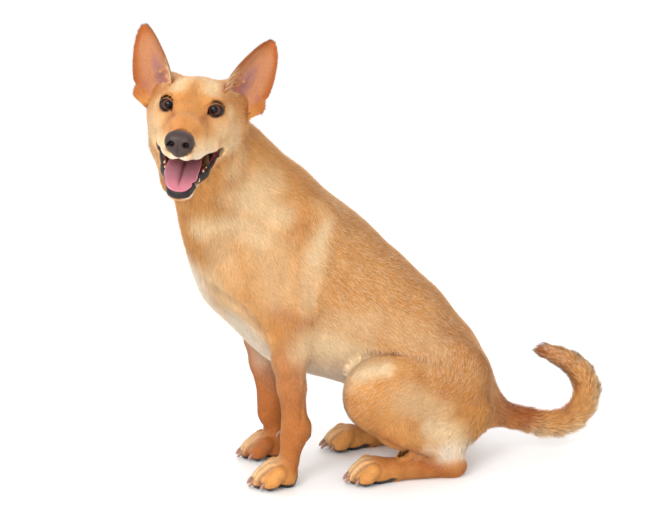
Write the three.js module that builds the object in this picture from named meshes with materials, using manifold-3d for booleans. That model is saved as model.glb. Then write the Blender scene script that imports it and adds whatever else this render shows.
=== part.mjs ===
// A sitting dog of medium size: a short-coated, prick-eared, yellow shepherd type, life size, as a still model.
// Millimetres. +Z is up, the dog's trunk points along -X, and its left side is -Y.
// The body is one field of muscle and bone forms that melt into each other. The field is turned into
// a surface region by region, and parted by thin flat cuts into head, jaw, neck, trunk, limbs and tail.

import * as THREE from 'three';
import { mergeVertices } from 'three/addons/utils/BufferGeometryUtils.js';
import Module from 'manifold-3d';

const wasm = await Module();
wasm.setup();

// ---------- driving dimensions ----------

const MIDDLE = [50, -49.3]; // the whole dog's middle on the floor, which becomes the origin
const GAP = 0.3;            // clear width of every parting cut
const FIT = 0.6;            // clear width round the smooth parts that are set into the flesh
const LOOSE_FIT = 1.5;      // and between rougher ones: the nose or an ear, and the skull
const CHEST_HALF = 84;      // half the width of the ribcage
const FORE_SPREAD = 71;     // each forepaw's distance from the middle plane
const HIND_SPREAD = 84;     // each hind paw's distance from the middle plane

const HEAD_PLACE = [-266, -129, 611];  // the point midway between the eyes
const HEAD_TURN = 15.8;     // degrees from the dog's left towards its front
const HEAD_PITCH = -4.6;    // degrees, nose down
const HEAD_ROLL = -6.3;     // degrees, the left eye lower
const JAW_OPEN = 24;        // degrees
const EYE_RADIUS = 12.5;
const EYE_PLACE = [-9, 33.5, -2];     // the left eyeball's centre: ahead, to the left, up
const EAR_LENGTH = 118;
const EAR_WIDTH = { 1: 69, [-1]: 74 };  // the left ear is seen a little more from the side
const EAR_THICKNESS = 5;

// how wide the facets of each region are
const FACET = {
  trunk: 39, neck: 30, head: 14, nose: 8, tail: 21,
  forearm: 21, forepaw: 14.5, thigh: 27.5, shank: 18.5, hindfoot: 18,
};

const COAT = { color: 0xd9a066, roughness: 0.85 };
const PALE_COAT = { color: 0xe9cda4, roughness: 0.85 };
const RUST_COAT = { color: 0xc07a42, roughness: 0.85 };
const CLAW = { color: 0x8a5a48, roughness: 0.45 };

// ---------- the field ----------

const LEFT = -1;
const RIGHT = 1;
const HANDS = { left: LEFT, right: RIGHT };

const vec = (x, y, z) => new THREE.Vector3(x, y, z);

// One muscle or bone: a tapering round bar from a to b, as thick along `side` as `flat` times its other width.
// `blend` is how widely it melts into what is already there. With `carve` it is taken away instead.
function form(a, b, ra, rb, { blend = 25, side = vec(0, 1, 0), flat = 1, carve = false } = {}) {
  return { a, ab: b.clone().sub(a), ra, rb, blend, side, flat, carve };
}

const offset = new THREE.Vector3();

function distanceTo(f, p) {
  offset.copy(p).sub(f.a);
  const t = THREE.MathUtils.clamp(offset.dot(f.ab) / f.ab.lengthSq(), 0, 1);
  offset.addScaledVector(f.ab, -t);
  const r = f.ra + (f.rb - f.ra) * t;
  const across = offset.dot(f.side) ** 2;
  const rest = Math.max(0, offset.lengthSq() - across);
  const wide = (r * f.flat) ** 2;
  const k0 = Math.sqrt(rest / r ** 2 + across / wide);
  const k1 = Math.sqrt(rest / r ** 4 + across / wide ** 2);
  return k1 < 1e-6 ? -Math.min(r, r * f.flat) : k0 * (k0 - 1) / k1;
}

function softMin(a, b, k) {
  const h = Math.max(k - Math.abs(a - b), 0) / k;
  return Math.min(a, b) - h * h * k / 4;
}

function fieldAt(forms, p) {
  let d = 1e3;
  for (const f of forms) {
    const own = distanceTo(f, p);
    d = f.carve ? -softMin(-d, own, f.blend) : softMin(d, own, f.blend);
  }
  return d;
}

// ---------- trunk and neck ----------

function trunkForms() {
  return [
    // ribcage: deep behind the shoulders, shallower towards the last ribs
    form(vec(-133, 0, 376), vec(-100, 0, 340), 119, 127, { flat: CHEST_HALF / 124 }),
    form(vec(-100, 0, 340), vec(-54, 0, 296), 127, 128, { flat: CHEST_HALF / 124 }),
    form(vec(-54, 0, 296), vec(9, 0, 262), 128, 114, { flat: 0.7 }),
    // belly and loin
    form(vec(9, 0, 262), vec(74, 0, 218), 114, 100, { flat: 0.71 }),
    form(vec(74, 0, 218), vec(136, 0, 162), 100, 87, { flat: 0.79 }),
    // croup and seat
    form(vec(136, 0, 162), vec(185, 0, 116), 87, 66, { flat: 0.92 }),
    form(vec(185, 0, 116), vec(207, 0, 94), 66, 40),
    // breast, in front of the ribs
    form(vec(-216, 0, 392), vec(-196, 0, 322), 46, 43, { flat: 1.1, blend: 36 }),
    // withers
    form(vec(-70, 0, 430), vec(10, 0, 374), 24, 24, { flat: 1.2, blend: 36 }),
  ];
}

function neckForms() {
  return [
    form(vec(-148, 0, 425), vec(-200, -4, 500), 90, 74, { flat: 0.9, blend: 40 }),
    form(vec(-200, -4, 500), vec(-230, -24, 566), 74, 56, { flat: 0.95, blend: 26 }),
    // nape, between the withers and the back of the skull
    form(vec(-104, 0, 474), vec(-172, -6, 530), 26, 22, { flat: 1.4, blend: 36 }),
    // throat
    form(vec(-234, -20, 436), vec(-248, -52, 522), 38, 42, { flat: 1.2, blend: 40 }),
  ];
}

// ---------- forelegs ----------

const FORE_LEAN = { [LEFT]: 0, [RIGHT]: -20 };    // the right foreleg reaches further forward
const FORE_SHIFT = { [LEFT]: 0, [RIGHT]: 4 };     // but its paw does not

const forepawAt = (hand) => vec(-118 + FORE_SHIFT[hand], hand * FORE_SPREAD, 0);

function forelegForms(hand) {
  const leaning = (x, y, z) => vec(x + FORE_LEAN[hand] * Math.min(1, 0.3 + z / 240), hand * y, z);
  const elbow = leaning(-121, 80, 274);
  const forearm = leaning(-113, 77, 205);
  const shaft = leaning(-109, 75, 165);
  const wrist = leaning(-103, FORE_SPREAD + 1, 96);
  const pastern = vec(-113 + FORE_SHIFT[hand], hand * FORE_SPREAD, 42);
  return [
    // shoulder blade and its muscles
    form(vec(-74, hand * 50, 412), vec(-176, hand * 58, 350), 46, 52, { flat: 0.6, blend: 30 }),
    // upper arm, from the point of the shoulder back to the elbow
    form(vec(-180, hand * 62, 340), elbow, 46, 40, { flat: 0.64, blend: 30 }),
    form(vec(-88, hand * 66, 350), leaning(-96, 78, 292), 34, 26, { flat: 0.66, blend: 30 }),
    // elbow, with its bony point, and forearm
    form(elbow, forearm, 39, 26.5, { flat: 0.66, blend: 24 }),
    form(leaning(-96, 82, 290), leaning(-96, 81, 262), 13, 11, { blend: 20 }),
    form(forearm, shaft, 26.5, 22, { flat: 0.76, blend: 14 }),
    form(shaft, wrist, 22, 20, { flat: 0.88, blend: 14 }),
    // wrist, with the pad behind it
    form(wrist, leaning(-107, FORE_SPREAD, 76), 20, 18, { flat: 0.98, blend: 14 }),
    form(leaning(-88, FORE_SPREAD, 96), leaning(-86, FORE_SPREAD, 82), 9, 8.5, { blend: 12 }),
    form(leaning(-107, FORE_SPREAD, 76), pastern, 17.5, 17, { flat: 1.05, blend: 12 }),
  ];
}

// ---------- hind legs ----------

const hindpawAt = (hand) => vec(hand === RIGHT ? 24 : 28, hand * HIND_SPREAD, 0);

const KNEE_BACK = { [LEFT]: 0, [RIGHT]: 44 };      // the right knee is drawn back

function hindlegForms(hand) {
  const y = (v) => hand * v;
  const back = KNEE_BACK[hand];
  return [
    // thigh: a broad flat mass from the hip to the knee
    form(vec(150, y(56), 150), vec(46 + back, y(84), 152), 74, 62, { flat: 0.5, blend: 26 }),
    form(vec(116, y(68), 112), vec(34 + back, y(90), 136), 62, 58, { flat: 0.48, blend: 22 }),
    form(vec(42 + back, y(90), 158), vec(14 + back, y(96), 157), 50, 43, { flat: 0.6, blend: 20 }),
    // back of the thigh, down to the hock
    form(vec(187, y(58), 93), vec(153, y(78), 62), 43, 34, { flat: 0.66, blend: 24 }),
    // shank, folded under the thigh
    form(vec(13 + back, y(98), 140), vec(62 + back / 2, y(93), 89), 39, 32, { flat: 0.6, blend: 16 }),
    form(vec(62 + back / 2, y(93), 89), vec(150, y(86), 37), 32, 20, { flat: 0.62, blend: 16 }),
    // heel and the long foot, flat on the floor
    form(vec(158, y(86), 17), vec(150, y(86), 17), 18, 18, { flat: 0.8, blend: 14 }),
    form(vec(150, y(86), 17), vec(50, y(85), 18), 18, 18, { flat: 0.88, blend: 14 }),
    form(vec(50, y(85), 18), vec(18, y(84), 19), 18, 18, { flat: 1.1, blend: 12 }),
  ];
}

// ---------- paws ----------

const TOES = [[-1, 0.66], [-0.36, 1], [0.36, 1], [1, 0.66]];   // each toe's place across, and its reach
const FOREPAW = { length: 47, width: 22, height: 44 };
const HINDPAW = { length: 40, width: 21, height: 40 };

const toeTip = (place, paw, [across, reach]) =>
  vec(place.x - paw.length * reach, place.y + across * (paw.width + 1), 11);

// The big pad and four toes. `place` is the middle of the big pad, at floor level.
function pawForms(place, paw) {
  const { x, y } = place;
  const { length, width, height } = paw;
  const forms = [
    form(vec(x + 2, y, 14), vec(x + 2, y, 10), 16, 15, { flat: 1.25, blend: 10 }),
    form(vec(x - 6, y, height * 0.55), vec(x - 26, y, height * 0.5), height * 0.46, height * 0.4,
      { flat: 1.3, blend: 14 }),
  ];
  for (const toe of TOES) {
    const [across, reach] = toe;
    const knuckle = vec(x - length * 0.5 * reach, y + across * width, height * 0.64);
    const joint = vec(x - length * 0.8 * reach, y + across * (width + 2), height * 0.42);
    forms.push(
      form(vec(x - 12, y + across * width * 0.7, height * 0.6), knuckle, 10.5, 11.5, { blend: 7 }),
      form(knuckle, joint, 11.5, 11.5, { blend: 5 }),
      form(joint, toeTip(place, paw, toe), 11.5, 10, { blend: 5 }),
    );
  }
  return forms;
}

// A claw grows out of a toe's tip, forwards and down.
function claw(root, { long = 13.5, drop = 9, radius = 4.2, grow = 0 }) {
  const line = new THREE.QuadraticBezierCurve3(root, vec(root.x - long * 0.55, root.y, root.z + 1),
    vec(root.x - long, root.y, root.z - drop));
  return taperedTube(line, 3, 5, (t) => radius * (1 - 0.66 * t ** 1.8) + grow, grow);
}

// ---------- tail ----------

const TAIL_LINE = new THREE.CatmullRomCurve3([
  vec(206, 0, 98), vec(250, 0, 76), vec(304, 4, 58), vec(351, 8, 44), vec(396, 12, 53),
  vec(419, 14, 88), vec(411, 14, 123), vec(386, 12, 150), vec(350, 10, 169), vec(309, 7, 185),
]);
const TAIL_STEPS = 14;
const TAIL_THICK = 25.5;

function tailRadius(t) {
  const waist = 3 * Math.sin(Math.PI * Math.min(1, t * 2.6));
  return TAIL_THICK - waist - 18 * Math.max(0, (t - 0.62) / 0.38) ** 1.6;
}

function tailForms() {
  const points = TAIL_LINE.getSpacedPoints(TAIL_STEPS);
  return points.slice(1).map((b, i) => form(points[i], b,
    tailRadius(i / TAIL_STEPS), tailRadius((i + 1) / TAIL_STEPS), { flat: 0.92, blend: i < 2 ? 30 : 8 }));
}

// ---------- head ----------

const headFrame = new THREE.Matrix4();
{
  const turn = THREE.MathUtils.degToRad(HEAD_TURN);
  const pitch = THREE.MathUtils.degToRad(HEAD_PITCH);
  const ahead = vec(-Math.sin(turn) * Math.cos(pitch), -Math.cos(turn) * Math.cos(pitch), Math.sin(pitch));
  const left = vec(0, 0, 1).cross(ahead).normalize();
  left.applyAxisAngle(ahead, THREE.MathUtils.degToRad(HEAD_ROLL));
  headFrame.makeBasis(ahead, left, ahead.clone().cross(left)).setPosition(...HEAD_PLACE);
}

// A point of the head: ahead of the eyes, to the dog's left, and up.
const at = (ahead, left, up) => vec(ahead, left, up).applyMatrix4(headFrame);
const headWay = (ahead, left, up) => vec(ahead, left, up).transformDirection(headFrame);
const ACROSS_HEAD = headWay(0, 1, 0);

const JAW_HINGE = { ahead: -48, up: -46 };

// A point of the lower jaw, given as it is with the mouth shut.
function jawAt(ahead, left, up) {
  const open = THREE.MathUtils.degToRad(JAW_OPEN);
  const a = ahead - JAW_HINGE.ahead;
  const u = up - JAW_HINGE.up;
  return at(JAW_HINGE.ahead + a * Math.cos(open) + u * Math.sin(open), left,
    JAW_HINGE.up - a * Math.sin(open) + u * Math.cos(open));
}

// The same form in the head's own frame, on one side or across the middle.
const headForm = (a, b, ra, rb, more) => form(at(...a), at(...b), ra, rb, { side: ACROSS_HEAD, ...more });
const jawForm = (a, b, ra, rb, more) => form(jawAt(...a), jawAt(...b), ra, rb, { side: ACROSS_HEAD, ...more });

function headForms() {
  const forms = [
    // braincase and forehead
    headForm([-84, 0, -16], [-46, 0, -15], 46, 44, { flat: 1.14, blend: 26 }),
    headForm([-46, 0, -14], [-6, 0, -22], 38, 26, { flat: 1.25, blend: 30 }),
    // back of the skull
    headForm([-98, 0, -26], [-108, -4, -44], 38, 38, { flat: 1.15, blend: 26 }),
    // bridge of the nose and upper jaw
    headForm([-4, 0, -24], [44, 0, -30], 26, 24, { flat: 1.06, blend: 24 }),
    headForm([44, 0, -30], [77, 0, -35], 24, 19.5, { flat: 1.02, blend: 12 }),
    // palate between the cheeks
    headForm([-44, 0, -42], [24, 0, -42], 22, 15, { flat: 1.6, blend: 18 }),
  ];
  for (const s of [-1, 1]) {
    forms.push(
      // cheekbone, face below the eye, chewing muscle and loose skin of the throat
      headForm([-60, s * 45, -20], [-16, s * 39, -24], 21, 17, { flat: 0.9, blend: 22 }),
      headForm([-16, s * 34, -30], [40, s * 15, -38], 17, 14, { flat: 0.9, blend: 16 }),
      headForm([-62, s * 45, -40], [-36, s * 43, -62], 24, 19, { flat: 0.88, blend: 20 }),
      headForm([-84, s * 46, -34], [-74, s * 46, -74], 28, 24, { blend: 24 }),
      headForm([-74, s * 42, -76], [-66, s * 28, -132], 20, 20, { blend: 20 }),
      // eye socket
      headForm([-9, s * 33.5, -2], [8, s * 37, -3], 12.8, 13.5, { blend: 4, carve: true }),
      // brow
      headForm([-12, s * 22, 6], [-17, s * 36, 7], 9, 8, { blend: 14 }),
      // upper lip: a soft flap from the nose back to the corner of the mouth
      headForm([82, s * 10, -48], [50, s * 20, -50], 12.5, 12.5, { flat: 0.8, blend: 10 }),
      headForm([50, s * 20, -50], [8, s * 35, -52], 12.5, 10, { flat: 0.8, blend: 10 }),
      headForm([8, s * 35, -52], [-16, s * 41, -60], 10, 9, { flat: 0.8, blend: 10 }),
      // ear root, behind and below the opening of the ear
      headForm([-102, s * 46, 0], [-108, s * 58, 16], 18, 12, { blend: 18 }),
      headForm([-86, s * 60, -22], [-92, s * 66, -4], 15, 11, { blend: 18 }),
      // muscle that draws the ear up, on the corner of the skull
      headForm([-72, s * 33, 10], [-96, s * 44, 13], 15, 16, { blend: 18 }),
    );
  }
  return forms;
}

function jawForms() {
  const forms = [
    // chin and the floor of the mouth
    jawForm([80, 0, -63], [72, 0, -66], 11, 12, { flat: 1.2, blend: 10 }),
    jawForm([70, 0, -74], [18, 0, -80], 8, 9, { flat: 2.2, blend: 12 }),
    jawForm([18, 0, -80], [-28, 0, -84], 9, 18, { flat: 2, blend: 16 }),
  ];
  for (const s of [-1, 1]) {
    forms.push(
      jawForm([76, s * 11, -62], [28, s * 27, -63], 9.5, 10, { flat: 0.75, blend: 8 }),
      jawForm([28, s * 27, -63], [-12, s * 39, -62], 10, 13, { flat: 0.66, blend: 10 }),
    );
  }
  return forms;
}

// The open mouth, between the palate and the floor of the jaw.
function mouthForms() {
  return [
    headForm([-24, 0, -70], [24, 0, -78], 8, 12, { flat: 3.8, blend: 5, carve: true }),
    headForm([24, 0, -78], [70, 0, -86], 14, 20, { flat: 1.5, blend: 5, carve: true }),
    headForm([70, 0, -86], [108, 0, -84], 20, 22, { flat: 1.4, blend: 5, carve: true }),
    jawForm([70, 0, -55], [-20, 0, -58], 9, 13, { flat: 1.5, blend: 6, carve: true }),
    // the corners of the mouth, far back in the cheeks
    headForm([-15, 46, -65], [24, 38, -75], 5, 12, { flat: 1.4, blend: 5, carve: true }),
    headForm([-15, -46, -65], [24, -38, -75], 5, 12, { flat: 1.4, blend: 5, carve: true }),
  ];
}

function noseForms() {
  return [
    headForm([88, 0, -30], [86, 0, -38], 15, 13, { flat: 1.18 }),
    headForm([93, -8, -30], [93, 8, -30], 9.5, 9.5, { blend: 8 }),
    headForm([91, -10.5, -36], [91, 10.5, -36], 8.5, 8.5, { blend: 8 }),
    headForm([94, 0, -42], [88, 0, -50], 6, 5, { blend: 8 }),
    headForm([106, -7, -35], [96, -11, -35], 3.6, 3.6, { blend: 3, carve: true }),
    headForm([106, 7, -35], [96, 11, -35], 3.6, 3.6, { blend: 3, carve: true }),
  ];
}

const flesh = [
  ...trunkForms(),
  ...neckForms(),
  ...Object.values(HANDS).flatMap(forelegForms),
  ...Object.values(HANDS).flatMap((hand) => pawForms(forepawAt(hand), FOREPAW)),
  ...Object.values(HANDS).flatMap(hindlegForms),
  ...Object.values(HANDS).flatMap((hand) => pawForms(hindpawAt(hand), HINDPAW)),
  ...tailForms(),
  ...headForms(),
  ...jawForms(),
  ...mouthForms(),
];

// ---------- surfaces and solids ----------

function gradientAt(forms, p) {
  const step = 0.5;
  const slope = [vec(step, 0, 0), vec(0, step, 0), vec(0, 0, step)].map((d) =>
    (fieldAt(forms, p.clone().add(d)) - fieldAt(forms, p.clone().sub(d))) / (2 * step));
  return vec(...slope);
}

// The surface `grow` outside the forms, inside a box, as a net of four-cornered facets about `cell` wide.
function surface(forms, [from, to], cell, grow = 0) {
  const box = new THREE.Box3(vec(...from), vec(...to));
  const near = forms.filter((f) => new THREE.Box3().setFromPoints([f.a, f.a.clone().add(f.ab)])
    .expandByScalar(Math.max(f.ra, f.rb) * Math.max(1, f.flat) + f.blend + cell).intersectsBox(box));
  const n = box.getSize(vec(0, 0, 0)).divideScalar(cell).ceil().addScalar(1).toArray();
  const at = (i, j, k) => i + n[0] * (j + n[1] * k);
  const stride = [1, n[0], n[0] * n[1]];
  const point = (i, j, k) => vec(i, j, k).multiplyScalar(cell).add(box.min);

  const values = new Float32Array(n[0] * n[1] * n[2]);
  const each = (count, visit) => {
    for (let k = 0; k < count[2]; k++) {
      for (let j = 0; j < count[1]; j++) {
        for (let i = 0; i < count[0]; i++) visit(i, j, k);
      }
    }
  };
  each(n, (i, j, k) => {
    const rim = [i, j, k].some((v, axis) => v === 0 || v === n[axis] - 1);
    const d = fieldAt(near, point(i, j, k)) - grow;
    values[at(i, j, k)] = rim ? Math.max(d, 0.2 * cell) : d;
  });

  // where two opposite corners of a grid square are inside and the other two outside, two sheets would
  // share an edge there, so the fainter of the outside ones is taken in
  let tangled = true;
  while (tangled) {
    tangled = false;
    each(n.map((v) => v - 1), (i, j, k) => {
      for (let axis = 0; axis < 3; axis++) {
        const [u, v] = [stride[(axis + 1) % 3], stride[(axis + 2) % 3]];
        const here = at(i, j, k);
        const square = [here, here + u, here + u + v, here + v];
        const inside = square.map((c) => values[c] < 0);
        if (inside[0] !== inside[2] || inside[1] !== inside[3] || inside[0] === inside[1]) continue;
        const [a, b] = square.filter((c) => values[c] >= 0);
        values[values[a] < values[b] ? a : b] = -0.01 * cell;
        tangled = true;
      }
    });
  }

  // one corner in every cell that the surface passes through, settled onto the surface
  const positions = [];
  const cornerOf = new Map();
  each(n.map((v) => v - 1), (i, j, k) => {
    const middle = vec(0, 0, 0);
    let crossings = 0;
    for (let edge = 0; edge < 12; edge++) {
      const axis = edge >> 2;
      const step = [0, 0, 0];
      step[(axis + 1) % 3] = edge & 1;
      step[(axis + 2) % 3] = (edge >> 1) & 1;
      const start = at(i + step[0], j + step[1], k + step[2]);
      const [a, b] = [values[start], values[start + stride[axis]]];
      if ((a < 0) === (b < 0)) continue;
      step[axis] = a / (a - b);
      middle.add(point(i + step[0], j + step[1], k + step[2]));
      crossings++;
    }
    if (crossings === 0) return;
    middle.divideScalar(crossings);
    for (let pass = 0; pass < 3; pass++) {
      const slope = gradientAt(near, middle);
      const d = fieldAt(near, middle) - grow;
      middle.addScaledVector(slope, -THREE.MathUtils.clamp(d / slope.lengthSq(), -cell / 4, cell / 4));
    }
    middle.clamp(box.min, box.max);
    cornerOf.set(at(i, j, k), positions.length / 3);
    positions.push(...middle.toArray());
  });

  // one facet across every edge of the grid that the surface cuts
  const faces = [];
  const corner = (index) => cornerOf.get(index);
  const gapBetween = (a, b) => Math.hypot(...[0, 1, 2].map((q) => positions[3 * a + q] - positions[3 * b + q]));
  each(n.map((v) => v - 1), (i, j, k) => {
    const here = at(i, j, k);
    [i, j, k].forEach((_, axis) => {
      const [u, v] = [(axis + 1) % 3, (axis + 2) % 3];
      const inside = values[here] < 0;
      if (inside === values[here + stride[axis]] < 0 || ![i, j, k][u] || ![i, j, k][v]) return;
      const ring = [here, here - stride[u], here - stride[u] - stride[v], here - stride[v]].map(corner);
      if (!inside) ring.reverse();
      const [a, b, c, d] = ring;
      if (gapBetween(a, c) <= gapBetween(b, d)) faces.push(a, b, c, a, c, d);
      else faces.push(a, b, d, b, c, d);
    });
  });
  return new wasm.Manifold(new wasm.Mesh({
    numProp: 3, vertProperties: new Float32Array(positions), triVerts: new Uint32Array(faces),
  }));
}

function solidOf(geometry) {
  const bare = new THREE.BufferGeometry().setAttribute('position', geometry.getAttribute('position'));
  bare.setIndex(geometry.getIndex());
  const merged = mergeVertices(bare, 1e-4);
  const index = Array.from(merged.getIndex().array);
  const kept = [];
  for (let i = 0; i < index.length; i += 3) {
    const [a, b, c] = index.slice(i, i + 3);
    if (a !== b && b !== c && a !== c) kept.push(a, b, c);
  }
  return new wasm.Manifold(new wasm.Mesh({
    numProp: 3,
    vertProperties: new Float32Array(merged.getAttribute('position').array),
    triVerts: new Uint32Array(kept),
  }));
}

function geometryOf(solid) {
  const mesh = solid.getMesh();
  const geometry = new THREE.BufferGeometry()
    .setAttribute('position', new THREE.BufferAttribute(new Float32Array(mesh.vertProperties), 3))
    .setIndex(new THREE.BufferAttribute(new Uint32Array(mesh.triVerts), 1));
  geometry.computeVertexNormals();
  return geometry;
}

// The biggest of the bodies that a cut leaves.
function mainBody(solid) {
  return solid.decompose().reduce((best, body) => (body.volume() > best.volume() ? body : best));
}

// A closed round tube along a line, with a radius that changes along it and pointed or domed ends.
function taperedTube(line, steps, sides, radiusAt, reach) {
  const positions = [];
  const faces = [];
  const across = vec(0, 1, 0);
  for (let i = 0; i <= steps; i++) {
    const t = i / steps;
    const along = line.getTangent(t);
    const out = along.clone().cross(across).normalize();
    for (let s = 0; s < sides; s++) {
      const turn = 2 * Math.PI * s / sides;
      const p = line.getPoint(t).addScaledVector(along, i === steps ? reach : i === 0 ? -reach : 0);
      p.addScaledVector(out, radiusAt(t) * Math.cos(turn)).addScaledVector(across, radiusAt(t) * Math.sin(turn));
      positions.push(...p.toArray());
      const [a, b] = [i * sides + s, i * sides + (s + 1) % sides];
      if (i < steps) faces.push(a, a + sides, b, b, a + sides, b + sides);
    }
  }
  for (let s = 1; s < sides - 1; s++) {
    faces.push(0, s, s + 1, steps * sides, steps * sides + s + 1, steps * sides + s);
  }
  const geometry = new THREE.BufferGeometry()
    .setAttribute('position', new THREE.BufferAttribute(new Float32Array(positions), 3))
    .setIndex(faces);
  return solidOf(geometry);
}

// ---------- parting planes ----------
// A plane is [point on it, its normal]. The part on the side that the normal points to is "beyond" it.

function beyond(solid, [point, normal]) {
  const n = normal.clone().normalize();
  return solid.trimByPlane(n.toArray(), n.dot(point) + GAP / 2);
}

function before(solid, [point, normal]) {
  return beyond(solid, [point, normal.clone().negate()]);
}

const NECK_HEAD = [at(-90, 0, -32), headWay(0.912, 0, 0.409)];
const TRUNK_NECK = [vec(-170, 0, 440), vec(-0.426, 0, 0.905)];
const TRUNK_TAIL = [vec(258, 0, 0), vec(1, 0, 0)];
const FLOOR = [vec(0, 0, -GAP / 2), vec(0, 0, 1)];

// The block of space that holds the parts beyond all of the planes, `grow` wider all round.
function space(planes, grow = 0) {
  const block = solidOf(new THREE.BoxGeometry(2000, 2000, 2000));
  return planes.reduce((left, [point, normal]) => {
    const n = normal.clone().normalize();
    return left.trimByPlane(n.toArray(), n.dot(point) - grow);
  }, block);
}

const forelegSpace = (hand) => [
  [vec(0, hand * 52, 200), vec(0, hand, -0.07)],
  [vec(0, 0, 262), vec(0, 0, -1)],
  [vec(-70, 0, 0), vec(-1, 0, 0)],
];
const hindlegSpace = (hand) => [
  [vec(0, hand * 50, 0), vec(0, hand, 0)],
  [vec(-20, 0, 240), vec(0.55, 0, -1)],
  [vec(80, 0, 252), vec(-0.6, 0, -1)],
  [vec(180, 0, 188), vec(-1.15, 0, -1)],
  [vec(-60, 0, 0), vec(1, 0, 0)],
];
const jawSpace = [
  [at(-15, 0, -66), headWay(0, 0, -1)],
  [at(-15, 0, -66), headWay(0.38, 0, -0.925)],
];

// ---------- parts ----------

const dog = new THREE.Group();
dog.position.set(-MIDDLE[0], -MIDDLE[1], 0);

function add(name, solid, { color, roughness, metalness = 0 }) {
  const mesh = new THREE.Mesh(geometryOf(solid), new THREE.MeshStandardMaterial({ color, roughness, metalness }));
  mesh.name = name;
  dog.add(mesh);
}

function addTrunk() {
  let solid = surface(flesh, [[-310, -150, 30], [290, 150, 520]], FACET.trunk);
  solid = before(before(solid, TRUNK_NECK), TRUNK_TAIL);
  for (const hand of Object.values(HANDS)) {
    solid = solid.subtract(space(forelegSpace(hand), GAP)).subtract(space(hindlegSpace(hand), GAP));
  }
  add('trunk', mainBody(solid), COAT);
}

function addNeck() {
  const solid = surface(flesh, [[-340, -150, 360], [-40, 130, 680]], FACET.neck);
  add('neck', mainBody(before(beyond(solid, TRUNK_NECK), NECK_HEAD)), COAT);
}

function addTail() {
  const tail = beyond(surface(flesh, [[215, -50, 0], [460, 60, 225]], FACET.tail), TRUNK_TAIL);
  const low = [vec(0, 0, 108), vec(0, 0, -1)];
  const back = [vec(350, 0, 0), vec(1, 0, 0)];
  add('tail_base', mainBody(before(beyond(tail, low), back)), RUST_COAT);
  add('tail_middle', mainBody(beyond(beyond(tail, low), back)), COAT);
  add('tail_tip', mainBody(before(tail, low)), RUST_COAT);
}

// The corners of a box on one side of the middle plane, given for the right side.
function sideBox(hand, [x0, y0, z0], [x1, y1, z1]) {
  return hand === RIGHT ? [[x0, y0, z0], [x1, y1, z1]] : [[x0, -y1, z0], [x1, -y0, z1]];
}

function addForeleg(side, hand) {
  const place = forepawAt(hand);
  const box = (low, high) => sideBox(hand, [-230, 30, low], [-50, 130, high]);
  const parting = [vec(0, 0, 60), vec(0, 0, 1)];
  const within = (solid) => solid.intersect(space(forelegSpace(hand)));
  add(`${side}_forearm`, mainBody(beyond(within(surface(flesh, box(40, 290), FACET.forearm)), parting)), COAT);
  let paw = before(beyond(surface(flesh, box(-20, 80), FACET.forepaw), FLOOR), parting);
  const roots = TOES.map((toe) => toeTip(place, FOREPAW, toe).add(vec(-1, 0, 3)));
  roots.push(vec(place.x + 14, place.y - hand * 19, 50));
  roots.forEach((root, i) => {
    const shape = i < 4 ? {} : { long: 12, drop: 11, radius: 3 };
    add(`${side}_foreclaw_${i + 1}`, claw(root, shape), CLAW);
    paw = paw.subtract(claw(root, { ...shape, grow: FIT }));
  });
  add(`${side}_forepaw`, mainBody(paw), COAT);
}

function addHindleg(side, hand) {
  const place = hindpawAt(hand);
  const box = (low, high) => sideBox(hand, [-80, 30, low], [280, 170, high]);
  const foot = [vec(0, 0, 42), vec(0, 0, 1)];
  const fold = [vec(-50, 0, 140), vec(78, 0, 245)];
  const leg = surface(flesh, box(10, 280), FACET.thigh).intersect(space(hindlegSpace(hand)));
  add(`${side}_thigh`, mainBody(beyond(leg, fold)), COAT);
  const shank = surface(flesh, box(27.5, 180), FACET.shank).intersect(space(hindlegSpace(hand)));
  add(`${side}_shank`, mainBody(beyond(before(shank, fold), foot)), COAT);
  let paw = surface(flesh, box(-20, 60), FACET.hindfoot).intersect(space(hindlegSpace(hand)));
  paw = before(beyond(paw, FLOOR), foot);
  TOES.forEach((toe, i) => {
    const root = toeTip(place, HINDPAW, toe).add(vec(-1, 0, 3));
    add(`${side}_hindclaw_${i + 1}`, claw(root, {}), CLAW);
    paw = paw.subtract(claw(root, { grow: FIT }));
  });
  add(`${side}_hindfoot`, mainBody(paw), COAT);
}

function eyeball(s, grow) {
  const sphere = new THREE.SphereGeometry(EYE_RADIUS + grow, 12, 8);
  const [ahead, left, up] = EYE_PLACE;
  return solidOf(sphere.translate(...at(ahead, s * left, up).toArray()));
}

// The left ear leans out a little more than the right, and the right one is turned further out.
const EAR_TIP = { 1: vec(-92, 101.5, 88), [-1]: vec(-92, -98, 97) };
const EAR_FACING = { 1: vec(0.88, 0.48, 0), [-1]: vec(0.84, -0.55, 0) };

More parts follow.
